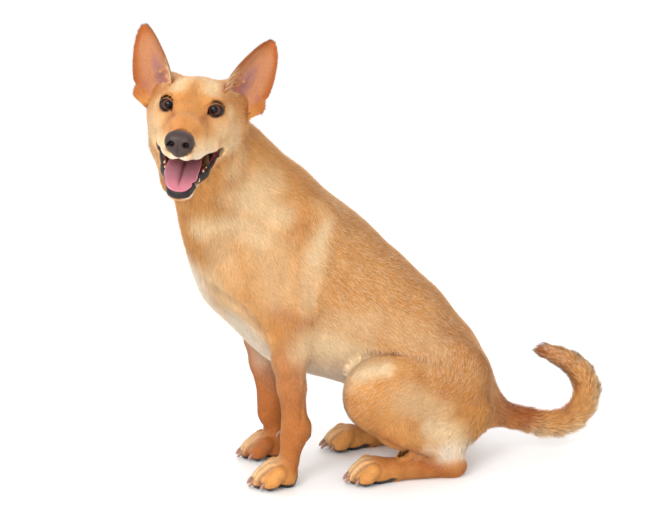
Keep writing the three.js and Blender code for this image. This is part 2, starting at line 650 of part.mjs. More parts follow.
// An ear is a leaf bent into a cup that faces ahead and outwards.
function ear(s) {
  const rows = 8;
  const columns = 6;
  const foot = vec(-80, s * 56, -16);
  const tip = EAR_TIP[s];
  const along = tip.clone().sub(foot).normalize();
  const facing = EAR_FACING[s].clone();
  facing.addScaledVector(along, -along.dot(facing)).normalize();
  const wide = along.clone().cross(facing).multiplyScalar(-s);
  const halfAt = (v) => EAR_WIDTH[s] / 2 * Math.sqrt(1 - v ** 1.8) * (1.06 - 0.62 * (1 - v) ** 4.5);
  const place = (row, column, face) => {
    const v = row / rows;
    const u = 2 * column / columns - 1;
    const half = halfAt(Math.min(v, 0.985));
    const cup = (26 * (1 - v) ** 0.9 + 4) * u * u;
    const thick = EAR_THICKNESS / 2 * Math.sqrt(1 - 0.75 * u * u);
    const p = foot.clone().addScaledVector(along, v * EAR_LENGTH);
    const inner = u > 0 ? 0.9 + 0.6 * (1 - v) : 1;
    p.addScaledVector(wide, u * half * inner).addScaledVector(facing, cup - 12 + face * thick);
    return at(...p.toArray());
  };
  const positions = [];
  const faces = [];
  const id = (row, column, face) => (face > 0 ? 0 : (rows + 1) * (columns + 1)) + row * (columns + 1) + column;
  for (const face of [1, -1]) {
    for (let row = 0; row <= rows; row++) {
      for (let column = 0; column <= columns; column++) positions.push(...place(row, column, face).toArray());
    }
  }
  const quad = (a, b, c, d) => faces.push(a, b, c, a, c, d);
  for (let row = 0; row < rows; row++) {
    for (let column = 0; column < columns; column++) {
      const loop = [[0, 0], [0, 1], [1, 1], [1, 0]].map(([r, c]) => [row + r, column + c]);
      quad(...loop.map(([r, c]) => id(r, c, 1)));
      quad(...[0, 3, 2, 1].map((q) => id(...loop[q], -1)));
    }
    quad(id(row, 0, 1), id(row + 1, 0, 1), id(row + 1, 0, -1), id(row, 0, -1));
    quad(id(row, columns, -1), id(row + 1, columns, -1), id(row + 1, columns, 1), id(row, columns, 1));
  }
  for (let column = 0; column < columns; column++) {
    quad(id(0, column + 1, 1), id(0, column, 1), id(0, column, -1), id(0, column + 1, -1));
    quad(id(rows, column, 1), id(rows, column + 1, 1), id(rows, column + 1, -1), id(rows, column, -1));
  }
  if (s > 0) faces.reverse();
  return solidOf(new THREE.BufferGeometry()
    .setAttribute('position', new THREE.BufferAttribute(new Float32Array(positions), 3)).setIndex(faces));
}

function tongue(grow) {
  const line = new THREE.CatmullRomCurve3([
    jawAt(-24, 0, -58), jawAt(10, 0, -54), jawAt(44, 0, -50.5), jawAt(70, 0, -51), jawAt(87, 0, -57),
  ]);
  const steps = 8;
  const sides = 10;
  const positions = [];
  const faces = [];
  for (let i = 0; i <= steps; i++) {
    const t = i / steps;
    const up = ACROSS_HEAD.clone().cross(line.getTangent(t)).negate().normalize();
    const half = (19 + 8 * t) * Math.sqrt(1 - 0.84 * t ** 6) + grow;
    for (let q = 0; q < sides; q++) {
      const turn = 2 * Math.PI * q / sides;
      const groove = 1.6 * Math.exp(-((Math.cos(turn) / 0.25) ** 2)) * Math.max(0, Math.sin(turn));
      const p = line.getPoint(t).addScaledVector(line.getTangent(t), i === 0 ? -grow : i === steps ? grow : 0);
      p.addScaledVector(ACROSS_HEAD, half * Math.cos(turn));
      p.addScaledVector(up, (4.2 + grow) * Math.sin(turn) - groove + 3 * Math.cos(turn) ** 2);
      positions.push(...p.toArray());
      const [a, b] = [i * sides + q, i * sides + (q + 1) % sides];
      if (i < steps) faces.push(a, b, a + sides, b, b + sides, a + sides);
    }
  }
  for (let q = 1; q < sides - 1; q++) {
    faces.push(0, q + 1, q, steps * sides, steps * sides + q, steps * sides + q + 1);
  }
  return solidOf(new THREE.BufferGeometry()
    .setAttribute('position', new THREE.BufferAttribute(new Float32Array(positions), 3)).setIndex(faces));
}

// The cheek teeth that the open mouth shows on each side of the tongue: ahead, to the side, and how tall.
const TEETH = [[41, 25.5, 9], [31, 28, 10], [20, 31, 11]];

function withTeeth(jaw) {
  for (const [ahead, left, tall] of TEETH) {
    for (const s of [-1, 1]) {
      const crown = new THREE.LineCurve3(jawAt(ahead, s * left, -60), jawAt(ahead, s * left, tall - 60));
      jaw = jaw.add(taperedTube(crown, 1, 5, (t) => 4.2 - 3 * t, 0));
    }
  }
  return jaw;
}

function addHead() {
  const box = [[-400, -290, 440], [-150, 60, 700]];
  const whole = beyond(surface(flesh, box, FACET.head), NECK_HEAD);
  const noseBox = [[-330, -270, 540], [-240, -190, 620]];
  add('nose', mainBody(surface(noseForms(), noseBox, FACET.nose)), { color: 0x4a3c39, roughness: 0.5 });
  const noseRoom = surface(noseForms().filter((f) => !f.carve), noseBox, FACET.nose, LOOSE_FIT);
  const earRoom = surface(flesh, box, FACET.head, LOOSE_FIT);
  let skull = whole.subtract(space(jawSpace, GAP)).subtract(noseRoom);
  for (const [side, s] of [['left', 1], ['right', -1]]) {
    add(`${side}_eye`, eyeball(s, 0), { color: 0x2b1a12, roughness: 0.1 });
    add(`${side}_ear`, mainBody(ear(s).subtract(earRoom)), RUST_COAT);
    skull = skull.subtract(eyeball(s, FIT));
  }
  add('tongue', tongue(0), { color: 0xd98a92, roughness: 0.5 });
  add('head', mainBody(skull.subtract(tongue(FIT))), COAT);
  const jaw = withTeeth(whole.intersect(space(jawSpace))).subtract(tongue(FIT));
  add('lower_jaw', mainBody(jaw), PALE_COAT);
}

addTrunk();
addNeck();
addHead();
addTail();
for (const [side, hand] of Object.entries(HANDS)) {
  addForeleg(side, hand);
  addHindleg(side, hand);
}

export default dog;
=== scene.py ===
# A sitting dog, life size: one skin with its lids, lips and mouth, a coat of thin overlapping tufts that
# follow the lie of the hair, and separate eyes, nose, tongue, teeth and claws.
import math

import bpy
import numpy as np
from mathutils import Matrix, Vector


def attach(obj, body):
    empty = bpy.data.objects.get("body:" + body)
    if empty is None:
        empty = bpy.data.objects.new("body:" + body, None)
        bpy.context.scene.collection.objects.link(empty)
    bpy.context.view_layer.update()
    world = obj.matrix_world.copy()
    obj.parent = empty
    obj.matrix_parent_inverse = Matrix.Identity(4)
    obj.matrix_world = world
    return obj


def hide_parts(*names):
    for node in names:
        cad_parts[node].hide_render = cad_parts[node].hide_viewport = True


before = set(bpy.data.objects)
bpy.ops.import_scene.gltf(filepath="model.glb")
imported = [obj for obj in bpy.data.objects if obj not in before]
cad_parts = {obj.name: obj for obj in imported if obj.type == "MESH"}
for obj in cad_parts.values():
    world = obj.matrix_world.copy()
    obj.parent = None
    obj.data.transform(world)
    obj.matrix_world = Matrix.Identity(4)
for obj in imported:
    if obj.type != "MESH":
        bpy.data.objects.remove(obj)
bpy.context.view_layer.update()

# ----------------------------------------------------------------------------------------------------------
# The skin. It is one closed surface over the whole animal, a coat's depth inside the solids' outline. The
# muscles and bones that push it out are a field of soft bars, in millimetres, which also says how the hair
# lies and how long it is. Each bar runs the way its hair lies, unless `lie` is -1.

MM = 0.001
MIDDLE = np.array([50.0, -49.3, 0.0])
LEFT, RIGHT = -1, 1
CHEST_HALF = 84
FORE_SPREAD = 71
HIND_SPREAD = 84
SAME_PLACE = 0.00002        # metres between corners that are one
COPY_GROWTH = 0.0012        # metres by which copies of the solids are grown, so that they meet


def unit(v):
    return v / np.linalg.norm(v)


def unit_rows(v, least=0.0):
    return v / np.maximum(np.linalg.norm(v, axis=1), least)[:, None]


class Bar:
    """A tapering rod with round ends, as a field that is below nought inside it."""

    def __init__(self, a, b, ra, rb, blend=25, side=(0, 1, 0), flat=1, carve=False, coat=7, lie=1):
        self.a = np.array(a, float)
        self.ab = np.array(b, float) - self.a
        self.ra, self.rb, self.blend, self.flat, self.carve = ra, rb, blend, flat, carve
        self.side = np.array(side, float)
        self.coat = coat
        self.lie = lie * self.ab / max(np.linalg.norm(self.ab), 1e-6)

    def near(self, p, reach):
        grow = max(self.ra, self.rb) * max(1, self.flat) + self.blend + reach
        low = np.minimum(self.a, self.a + self.ab) - grow
        high = np.maximum(self.a, self.a + self.ab) + grow
        return np.flatnonzero(((p > low) & (p < high)).all(1))

    def distance(self, p):
        off = p - self.a
        t = np.clip(off @ self.ab / max(self.ab @ self.ab, 1e-9), 0, 1)
        off = off - t[:, None] * self.ab
        r = self.ra + (self.rb - self.ra) * t
        across = (off @ self.side) ** 2
        rest = np.maximum((off * off).sum(1) - across, 0)
        wide = (r * self.flat) ** 2
        k0 = np.sqrt(rest / r ** 2 + across / wide)
        k1 = np.sqrt(rest / r ** 4 + across / wide ** 2)
        return np.where(k1 < 1e-6, -np.minimum(r, r * self.flat), k0 * (k0 - 1) / np.maximum(k1, 1e-9))


def soft_min(a, b, k):
    h = np.maximum(k - np.abs(a - b), 0) / k
    return np.minimum(a, b) - h * h * k / 4


def field(bars, p, reach=40):
    d = np.full(len(p), 1e3)
    for bar in bars:
        i = bar.near(p, reach)
        if len(i) == 0:
            continue
        own = bar.distance(p[i])
        d[i] = -soft_min(-d[i], own, bar.blend) if bar.carve else soft_min(d[i], own, bar.blend)
    return d


def slope(bars, p, d, step=0.4):
    return np.stack([field(bars, p + step * axis) - d for axis in np.eye(3)], 1) / step


def coat_at(bars, p):
    """The coat's depth at each point, and the way its hair lies, averaged over the bars that are near."""
    weight = np.full(len(p), 1e-9)
    depth = np.zeros(len(p))
    lie = np.zeros((len(p), 3))
    for bar in bars:
        i = bar.near(p, 20)
        if len(i) == 0:
            continue
        spread = 2.5 + 0.2 * min(bar.ra, bar.rb)
        w = np.exp(-np.clip(bar.distance(p[i]) / spread, -6, 30))
        if bar.carve:
            w *= 0.5
        weight[i] += w
        depth[i] += w * bar.coat
        lie[i] += w[:, None] * bar.lie
    return depth / weight, lie / weight[:, None]


def trunk_bars():
    return [
        Bar((-133, 0, 376), (-100, 0, 340), 119, 127, flat=CHEST_HALF / 124, coat=4.2),
        Bar((-100, 0, 340), (-54, 0, 296), 127, 128, flat=CHEST_HALF / 124, coat=4.2),
        Bar((-54, 0, 296), (9, 0, 262), 128, 114, flat=0.7, coat=4.2),
        Bar((9, 0, 262), (74, 0, 218), 114, 100, flat=0.71, coat=4.2),
        Bar((74, 0, 218), (136, 0, 162), 100, 87, flat=0.79, coat=4.2),
        Bar((136, 0, 162), (185, 0, 116), 87, 66, flat=0.92, coat=4.6),
        Bar((185, 0, 116), (207, 0, 94), 66, 40, coat=5.5),
        Bar((-216, 0, 392), (-196, 0, 322), 46, 43, flat=1.1, blend=36, coat=4.6),
        Bar((-70, 0, 430), (10, 0, 374), 24, 24, flat=1.2, blend=36, coat=4.6),
    ]


def neck_bars():
    return [
        Bar((-148, 0, 425), (-200, -4, 500), 90, 74, flat=0.9, blend=40, coat=5, lie=-1),
        Bar((-200, -4, 500), (-230, -24, 566), 74, 56, flat=0.95, blend=26, coat=5, lie=-1),
        Bar((-104, 0, 474), (-172, -6, 530), 26, 22, flat=1.4, blend=36, coat=5.5, lie=-1),
        Bar((-234, -20, 436), (-248, -52, 522), 38, 42, flat=1.2, blend=40, coat=4.6, lie=-1),
    ]


FORE_LEAN = {LEFT: 0, RIGHT: -20}
FORE_SHIFT = {LEFT: 0, RIGHT: 4}


def foreleg_bars(hand):
    def leaning(x, y, z):
        return x + FORE_LEAN[hand] * min(1, 0.3 + z / 240), hand * y, z

    elbow, forearm = leaning(-121, 80, 274), leaning(-113, 77, 205)
    shaft, wrist = leaning(-109, 75, 165), leaning(-103, FORE_SPREAD + 1, 96)
    pastern = (-113 + FORE_SHIFT[hand], hand * FORE_SPREAD, 42)
    return [
        Bar((-74, hand * 50, 412), (-176, hand * 58, 350), 46, 52, flat=0.6, blend=30, coat=4.2),
        Bar((-180, hand * 62, 340), elbow, 46, 40, flat=0.64, blend=30, coat=3.6),
        Bar((-88, hand * 66, 350), leaning(-96, 78, 292), 34, 26, flat=0.66, blend=30, coat=3.6),
        Bar(elbow, forearm, 39, 26.5, flat=0.66, blend=24, coat=2),
        Bar(leaning(-96, 82, 290), leaning(-96, 81, 262), 13, 11, blend=20, coat=1.6),
        Bar(forearm, shaft, 26.5, 22, flat=0.76, blend=14, coat=1.6),
        Bar(shaft, wrist, 22, 20, flat=0.88, blend=14, coat=1.3),
        Bar(wrist, leaning(-107, FORE_SPREAD, 76), 20, 18, flat=0.98, blend=14, coat=1.3),
        Bar(leaning(-88, FORE_SPREAD, 96), leaning(-86, FORE_SPREAD, 82), 9, 8.5, blend=12, coat=1),
        Bar(leaning(-107, FORE_SPREAD, 76), pastern, 17.5, 17, flat=1.05, blend=12, coat=1.3),
    ]


KNEE_BACK = {LEFT: 0, RIGHT: 44}


def hindleg_bars(hand):
    back = KNEE_BACK[hand]

    def at_side(x, y, z):
        return x, hand * y, z

    shin, hock, instep = at_side(62 + back / 2, 93, 89), at_side(150, 86, 17), at_side(50, 85, 18)
    return [
        Bar(at_side(150, 56, 150), at_side(46 + back, 84, 152), 74, 62, flat=0.5, blend=26, coat=4.2),
        Bar(at_side(116, 68, 112), at_side(34 + back, 90, 136), 62, 58, flat=0.48, blend=22, coat=3.8),
        Bar(at_side(42 + back, 90, 158), at_side(14 + back, 96, 157), 50, 43, flat=0.6, blend=20, coat=2.2),
        Bar(at_side(187, 58, 93), at_side(153, 78, 62), 43, 34, flat=0.66, blend=24, coat=9),
        Bar(at_side(13 + back, 98, 140), shin, 39, 32, flat=0.6, blend=16, coat=2.2),
        Bar(shin, at_side(150, 86, 37), 32, 20, flat=0.62, blend=16, coat=2.6),
        Bar(at_side(158, 86, 17), hock, 18, 18, flat=0.8, blend=14, coat=1.3, lie=-1),
        Bar(hock, instep, 18, 18, flat=0.88, blend=14, coat=1.3),
        Bar(instep, at_side(18, 84, 19), 18, 18, flat=1.1, blend=12, coat=1.2),
    ]


TOES = [(-1, 0.66), (-0.36, 1), (0.36, 1), (1, 0.66)]
FOREPAW = dict(length=47, width=22, height=44)
HINDPAW = dict(length=40, width=21, height=40)
PAW_PLACES = [((-118 + FORE_SHIFT[hand], hand * FORE_SPREAD), FOREPAW) for hand in (LEFT, RIGHT)]
PAW_PLACES += [((24 if hand == RIGHT else 28, hand * HIND_SPREAD), HINDPAW) for hand in (LEFT, RIGHT)]


def paw_bars(place, paw):
    x, y = place
    length, width, height = paw["length"], paw["width"], paw["height"]
    bars = [
        Bar((x + 2, y, 14), (x + 1.9, y, 10), 16, 15, flat=1.25, blend=10, coat=0.9),
        Bar((x - 6, y, height * 0.55), (x - 26, y, height * 0.5), height * 0.46, height * 0.4,
            flat=1.3, blend=14, coat=1.1),
    ]
    for across, reach in TOES:
        start = (x - 12, y + across * width * 0.7, height * 0.6)
        knuckle = (x - length * 0.5 * reach, y + across * width, height * 0.64)
        joint = (x - length * 0.8 * reach, y + across * (width + 2), height * 0.42)
        tip = (x - length * reach, y + across * (width + 1), 11)
        bars.append(Bar(start, knuckle, 10.5, 11.5, blend=7, coat=0.9))
        bars.append(Bar(knuckle, joint, 11.5, 11.5, blend=5, coat=0.8))
        bars.append(Bar(joint, tip, 11.5, 10, blend=5, coat=0.7))
    return bars


TAIL_POINTS = np.array([
    (206, 0, 98), (250, 0, 76), (304, 4, 58), (351, 8, 44), (396, 12, 53),
    (419, 14, 88), (411, 14, 123), (386, 12, 150), (350, 10, 169), (309, 7, 185),
], float)
TAIL_STEPS = 14
TAIL_CURL = (350, 10, 112)  # the middle of its curl


def smooth_line(points, count):
    """Points evenly spaced along a centripetal curve through `points`."""
    ends = [2 * points[0] - points[1], *points, 2 * points[-1] - points[-2]]
    fine = []
    for p0, p1, p2, p3 in zip(ends, ends[1:], ends[2:], ends[3:]):
        knots = [0.0]
        for u, v in ((p0, p1), (p1, p2), (p2, p3)):
            knots.append(knots[-1] + np.linalg.norm(v - u) ** 0.5)
        t0, t1, t2, t3 = knots
        for t in np.linspace(t1, t2, 20, endpoint=False):
            a1 = (t1 - t) / (t1 - t0) * p0 + (t - t0) / (t1 - t0) * p1
            a2 = (t2 - t) / (t2 - t1) * p1 + (t - t1) / (t2 - t1) * p2
            a3 = (t3 - t) / (t3 - t2) * p2 + (t - t2) / (t3 - t2) * p3
            b1 = (t2 - t) / (t2 - t0) * a1 + (t - t0) / (t2 - t0) * a2
            b2 = (t3 - t) / (t3 - t1) * a2 + (t - t1) / (t3 - t1) * a3
            fine.append((t2 - t) / (t2 - t1) * b1 + (t - t1) / (t2 - t1) * b2)
    fine = np.array([*fine, points[-1]])
    along = np.concatenate([[0], np.cumsum(np.linalg.norm(np.diff(fine, axis=0), axis=1))])
    even = np.linspace(0, along[-1], count + 1)
    return np.stack([np.interp(even, along, fine[:, axis]) for axis in range(3)], 1)


TAIL_LINE = smooth_line(TAIL_POINTS, TAIL_STEPS)


def tail_radius(t):
    waist = 3 * math.sin(math.pi * min(1, t * 2.6))
    return 25.5 - waist - 18 * max(0, (t - 0.62) / 0.38) ** 1.6


def tail_bars():
    bars = []
    for i in range(TAIL_STEPS):
        t0, t1 = i / TAIL_STEPS, (i + 1) / TAIL_STEPS
        coat = min(13, 9 + 12 * t0) * (1 if t0 < 0.62 else 1 - 0.75 * (t0 - 0.62) / 0.38)
        bars.append(Bar(TAIL_LINE[i], TAIL_LINE[i + 1], tail_radius(t0), tail_radius(t1), flat=0.92,
                        blend=30 if i < 2 else 8, coat=coat))
    return bars


# The head has its own frame, with its origin midway between the eyes: ahead, to the dog's left, and up.
HEAD_PLACE = np.array([-266.0, -129.0, 611.0])
HEAD_TURN, HEAD_PITCH, HEAD_ROLL = (math.radians(v) for v in (15.8, -4.6, -6.3))
JAW_OPEN = math.radians(24)
JAW_HINGE = (-48, -46)
EYE_RADIUS = 12.5
EYE_PLACE = np.array([-9, 33.5, -2])

ahead_way = np.array([
    -math.sin(HEAD_TURN) * math.cos(HEAD_PITCH),
    -math.cos(HEAD_TURN) * math.cos(HEAD_PITCH),
    math.sin(HEAD_PITCH),
])
level_left = unit(np.cross((0, 0, 1), ahead_way))
left_way = level_left * math.cos(HEAD_ROLL) + np.cross(ahead_way, level_left) * math.sin(HEAD_ROLL)
HEAD_AXES = np.stack([ahead_way, left_way, np.cross(ahead_way, left_way)])


def at_head(points):
    return np.asarray(points, float) @ HEAD_AXES + HEAD_PLACE


def in_head(p):
    return (p - HEAD_PLACE) @ HEAD_AXES.T


def jaw_point(ahead, left, up):
    """A point of the lower jaw in the head's frame, given as it is with the mouth shut."""
    a, u = ahead - JAW_HINGE[0], up - JAW_HINGE[1]
    return (JAW_HINGE[0] + a * math.cos(JAW_OPEN) + u * math.sin(JAW_OPEN), left,
            JAW_HINGE[1] - a * math.sin(JAW_OPEN) + u * math.cos(JAW_OPEN))


def head_bar(a, b, ra, rb, **more):
    return Bar(at_head(a), at_head(b), ra, rb, side=left_way, **more)


def jaw_bar(a, b, ra, rb, **more):
    return head_bar(jaw_point(*a), jaw_point(*b), ra, rb, **more)


def head_bars():
    bars = [
        head_bar((-84, 0, -16), (-46, 0, -15), 46, 44, flat=1.14, blend=26, coat=2.2, lie=-1),
        head_bar((-46, 0, -14), (-6, 0, -22), 38, 26, flat=1.25, blend=30, coat=1.5, lie=-1),
        head_bar((-98, 0, -26), (-108, -4, -44), 38, 38, flat=1.15, blend=26, coat=3.6),
        head_bar((-4, 0, -24), (44, 0, -30), 26, 24, flat=1.06, blend=24, coat=0.9, lie=-1),
        head_bar((44, 0, -30), (77, 0, -35), 24, 19.5, flat=1.02, blend=12, coat=0.7, lie=-1),
        head_bar((-44, 0, -42), (24, 0, -42), 22, 15, flat=1.6, blend=18, coat=1, lie=-1),
    ]
    for s in (-1, 1):
        bars += [
            head_bar((-60, s * 45, -20), (-16, s * 39, -24), 21, 17, flat=0.9, blend=22, coat=2, lie=-1),
            head_bar((-16, s * 34, -30), (40, s * 15, -38), 17, 14, flat=0.9, blend=16, coat=1.1, lie=-1),
            head_bar((-62, s * 45, -40), (-36, s * 43, -62), 24, 19, flat=0.88, blend=20, coat=2.2, lie=-1),
            head_bar((-84, s * 46, -34), (-74, s * 46, -74), 28, 24, blend=24, coat=3.6),
            head_bar((-74, s * 42, -76), (-66, s * 28, -132), 20, 20, blend=20, coat=4.2),
            # the ball of the eye under the lids, and the brow
            head_bar((-9, s * 33.5, -2), (-7.5, s * 34, -2), 14.1, 14.1, blend=5, coat=0.25, lie=-1),
            head_bar((-12, s * 22, 6), (-17, s * 36, 7), 9, 8, blend=14, coat=1.1),
            head_bar((82, s * 10, -48), (50, s * 20, -50), 12.5, 12.5, flat=0.8, blend=10, coat=0.6),
            head_bar((50, s * 20, -50), (8, s * 35, -52), 12.5, 10, flat=0.8, blend=10, coat=1),
            head_bar((8, s * 35, -52), (-16, s * 41, -60), 10, 9, flat=0.8, blend=10, coat=0.9),
            head_bar((-102, s * 46, 0), (-108, s * 58, 16), 18, 12, blend=18, coat=2),
            head_bar((-86, s * 58, -24), (-94, s * 63, -6), 15, 11, blend=18, coat=2),
            head_bar((-72, s * 33, 10), (-96, s * 44, 13), 15, 16, blend=18, coat=2),
        ]
    return bars


def jaw_bars():
    bars = [
        jaw_bar((80, 0, -63), (72, 0, -66), 11, 12, flat=1.2, blend=10, coat=0.8),
        jaw_bar((70, 0, -74), (18, 0, -80), 8, 9, flat=2.2, blend=12, coat=1),
        jaw_bar((18, 0, -80), (-28, 0, -84), 9, 18, flat=2, blend=16, coat=2.6),
    ]
    for s in (-1, 1):
        bars.append(jaw_bar((76, s * 11, -62), (28, s * 27, -63), 9.5, 10, flat=0.75, blend=8, coat=1))
        bars.append(jaw_bar((28, s * 27, -63), (-12, s * 39, -62), 10, 13, flat=0.66, blend=10, coat=1))
    return bars


def mouth_bars():
    return [
        head_bar((-24, 0, -70), (24, 0, -78), 8, 12, flat=3.8, blend=5, carve=True, coat=0.2),
        head_bar((24, 0, -78), (70, 0, -86), 14, 20, flat=1.5, blend=5, carve=True, coat=0.2),
        head_bar((70, 0, -86), (108, 0, -84), 20, 22, flat=1.4, blend=5, carve=True, coat=0.2),
        jaw_bar((70, 0, -55), (-20, 0, -58), 9, 13, flat=1.5, blend=6, carve=True, coat=0.2),
        head_bar((-15, 46, -65), (24, 38, -75), 5, 12, flat=1.4, blend=5, carve=True, coat=0.2),
        head_bar((-15, -46, -65), (24, -38, -75), 5, 12, flat=1.4, blend=5, carve=True, coat=0.2),
    ]


MOUTH, MOUTH_SPACE = mouth_bars(), mouth_bars()
for bar in MOUTH_SPACE:
    bar.carve = False
FLESH_BARS = trunk_bars() + neck_bars()
for hand in (LEFT, RIGHT):
    FLESH_BARS += foreleg_bars(hand)
for place, paw in PAW_PLACES[:2]:
    FLESH_BARS += paw_bars(place, paw)
for hand in (LEFT, RIGHT):
    FLESH_BARS += hindleg_bars(hand)
for place, paw in PAW_PLACES[2:]:
    FLESH_BARS += paw_bars(place, paw)
FLESH_BARS += tail_bars() + head_bars() + jaw_bars() + MOUTH
BODY_BARS = FLESH_BARS[:-len(MOUTH)]


def read(data, key, width, kind=float):
    """One property of each item in a mesh's list, as rows of an array."""
    values = np.empty(len(data) * width, kind)
    data.foreach_get(key, values)
    return values.reshape(-1, width)


def points_of(piece):
    return read(piece.data.vertices, "co", 3) / MM + MIDDLE


def set_points(piece, p):
    piece.data.vertices.foreach_set("co", ((p - MIDDLE) * MM).astype(np.float32).ravel())
    piece.data.update()


def only(piece):
    bpy.ops.object.select_all(action="DESELECT")
    piece.select_set(True)
    bpy.context.view_layer.objects.active = piece


def open_mesh(piece):
    """Goes into the piece's mesh, with all of it selected."""
    only(piece)
    bpy.ops.object.mode_set(mode="EDIT")
    bpy.ops.mesh.select_all(action="SELECT")


def close_mesh():
    bpy.ops.object.mode_set(mode="OBJECT")


def face_out(piece):
    open_mesh(piece)
    bpy.ops.mesh.normals_make_consistent(inside=False)
    close_mesh()


def smooth_shading(piece):
    only(piece)
    bpy.ops.object.shade_smooth()


def new_object(name, data):
    made = bpy.data.objects.new(name, data)
    bpy.context.scene.collection.objects.link(made)
    return made


def new_piece(name, points, faces):
    """A closed piece with these corners and faces."""
    mesh = bpy.data.meshes.new(name)
    mesh.from_pydata(((points - MIDDLE) * MM).tolist(), [], faces)
    piece = new_object(name, mesh)
    face_out(piece)
    return piece


def joined(pieces, name):
    """The pieces made into one."""
    bpy.ops.object.select_all(action="DESELECT")
    for piece in pieces:
        piece.select_set(True)
    bpy.context.view_layer.objects.active = pieces[0]
    if len(pieces) > 1:
        bpy.ops.object.join()
    whole = bpy.context.view_layer.objects.active
    whole.name = name
    return whole


def settle(p, bars, depth, passes=4, most=6.0):
    """Moves points onto the surface that lies `depth` inside the bars' own."""
    for _ in range(passes):
        d = field(bars, p)
        g = slope(bars, p, d)
        g2 = np.maximum((g * g).sum(1), 0.05)
        p = p - g * np.clip((d + depth) / g2, -most, most)[:, None]
    return p


def joined_copy(names, name):
    """One piece made of copies of CAD nodes, each grown a little so that they meet."""
    piece = joined([new_object(n + "_copy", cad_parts[n].data.copy()) for n in names], name)
    piece.data.materials.clear()
    open_mesh(piece)
    bpy.ops.mesh.remove_doubles(threshold=SAME_PLACE)
    bpy.ops.transform.shrink_fatten(value=COPY_GROWTH)
    close_mesh()
    return piece


def remesh(piece, voxel):
    """Covers the piece with one skin, on a grid of that size."""
    only(piece)
    piece.data.remesh_voxel_size = voxel
    piece.data.remesh_voxel_adaptivity = 0
    bpy.ops.object.voxel_remesh()


def subdivide_where(piece, inside):
    """Splits each face whose middle is inside into four."""
    only(piece)
    wanted = inside(read(piece.data.polygons, "center", 3) / MM + MIDDLE)
    bpy.ops.object.mode_set(mode="EDIT")
    bpy.ops.mesh.select_mode(type="FACE")
    bpy.ops.mesh.select_all(action="DESELECT")
    bpy.ops.object.mode_set(mode="OBJECT")
    piece.data.polygons.foreach_set("select", wanted)
    bpy.ops.object.mode_set(mode="EDIT")
    bpy.ops.mesh.subdivide(number_cuts=1)
    bpy.ops.object.mode_set(mode="OBJECT")


EARS = ["left_ear", "right_ear"]
APART = ["left_eye", "right_eye", "nose", "tongue"] + EARS
FLESH = sorted(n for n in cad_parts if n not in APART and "claw" not in n)
VOXEL = 0.0051

skin = joined_copy(FLESH, "skin")
remesh(skin, VOXEL)


def smooth_step(v, low, high):
    t = np.clip((v - low) / (high - low), 0, 1)
    return t * t * (3 - 2 * t)


# where the skin folds: along the flank over the thigh, behind the shin, over the hock, between the sinews
# of the foreleg, under the breast and round the shoulder; x and z of each point, then how wide and how deep
CREASES = [
    ([(4, 207), (20, 212), (40, 214), (61, 211), (93, 203), (128, 190)], 3.4, 3.6),
    ([(18, 87), (50, 67), (83, 48), (112, 35)], 2.8, 1.8), ([(90, 41), (112, 26)], 2.8, 1.0),
    ([(-91, 173), (-96, 141), (-98, 108)], 4.0, 1.8), ([(-104, 205), (-99, 165)], 5.0, 1.0),
    ([(-264, 352), (-226, 327), (-184, 296), (-156, 263), (-144, 219)], 6.0, 2.4),
    ([(-125, 453), (-96, 437), (-77, 413)], 9.0, 1.6), ([(-216, 458), (-190, 437), (-160, 425)], 9.0, 1.8),
    ([(-88, 330), (-84, 296), (-80, 258)], 6.0, 1.8), ([(150, 96), (190, 120), (228, 118)], 10.0, 1.6),
]


def groove(p, line, width):
    """From 0 to 1 towards the middle of a crease, on the sides of the body only."""
    total = np.zeros(len(p))
    for a, b in zip(line, line[1:]):
        a, b = np.array(a, float), np.array(b, float)
        off = p[:, [0, 2]] - a
        t = np.clip(off @ (b - a) / ((b - a) @ (b - a)), 0, 1)
        r2 = ((off - t[:, None] * (b - a)) ** 2).sum(1)
        total = np.maximum(total, np.exp(-r2 / width ** 2))
    return total * (np.abs(p[:, 1]) > 34)


def sunk(p):
    """How far the skin is drawn in by its creases."""
    total = np.zeros(len(p))
    for line, width, deep in CREASES:
        total = np.maximum(total, deep * groove(p, line, width))
    return total + toe_clefts(p)


def toe_region(p):
    near = np.zeros(len(p), bool)
    for (x, y), paw in PAW_PLACES:
        near |= ((p[:, 0] > x - paw["length"] - 12) & (p[:, 0] < x + 4) & (np.abs(p[:, 1] - y) < 38)
                 & (p[:, 2] < paw["height"] + 4))
    return near


def toe_clefts(p):
    """The grooves between the toes, running from the knuckles down to the floor."""
    total = np.zeros(len(p))
    for (x, y), paw in PAW_PLACES:
        near = (np.abs(p[:, 0] - x) < 70) & (np.abs(p[:, 1] - y) < 40)
        i = np.flatnonzero(near & (p[:, 2] < paw["height"] + 12))
        side = (p[i, 1] - y) / (paw["width"] + 1)
        ahead = (x - p[i, 0]) / paw["length"]
        cleft = np.zeros(len(i))
        for middle in (-0.70, 0, 0.70):
            cleft = np.maximum(cleft, np.exp(-((side - middle) * paw["width"] / 2.3) ** 2))
        total[i] = np.maximum(total[i], 4.0 * cleft * smooth_step(ahead, 0.16, 0.5))
    return total


def face_region(p):
    h = in_head(p)
    return (h[:, 0] > -106) & (np.abs(h[:, 1]) < 110) & (h[:, 2] > -128) & (h[:, 2] < 60)


# each eye's own frame: across the face to its outer corner, up, and out along its gaze
EYE_FRAMES = {}
for s in (-1, 1):
    gaze = unit(np.array([0.955, s * 0.29, 0.03]))
    outer = np.cross(gaze, (0, 0, 1)) * -s + np.array([0, 0, 0.10])
    outer = unit(outer - gaze * (outer @ gaze))
    lid_up = np.cross(gaze, outer) * s
    EYE_FRAMES[s] = (EYE_PLACE * (1, s, 1), outer, lid_up * np.sign(lid_up[2]), gaze)
LID_HALF, LID_TOP, LID_BOTTOM = 10.4, 8.8, 7.9


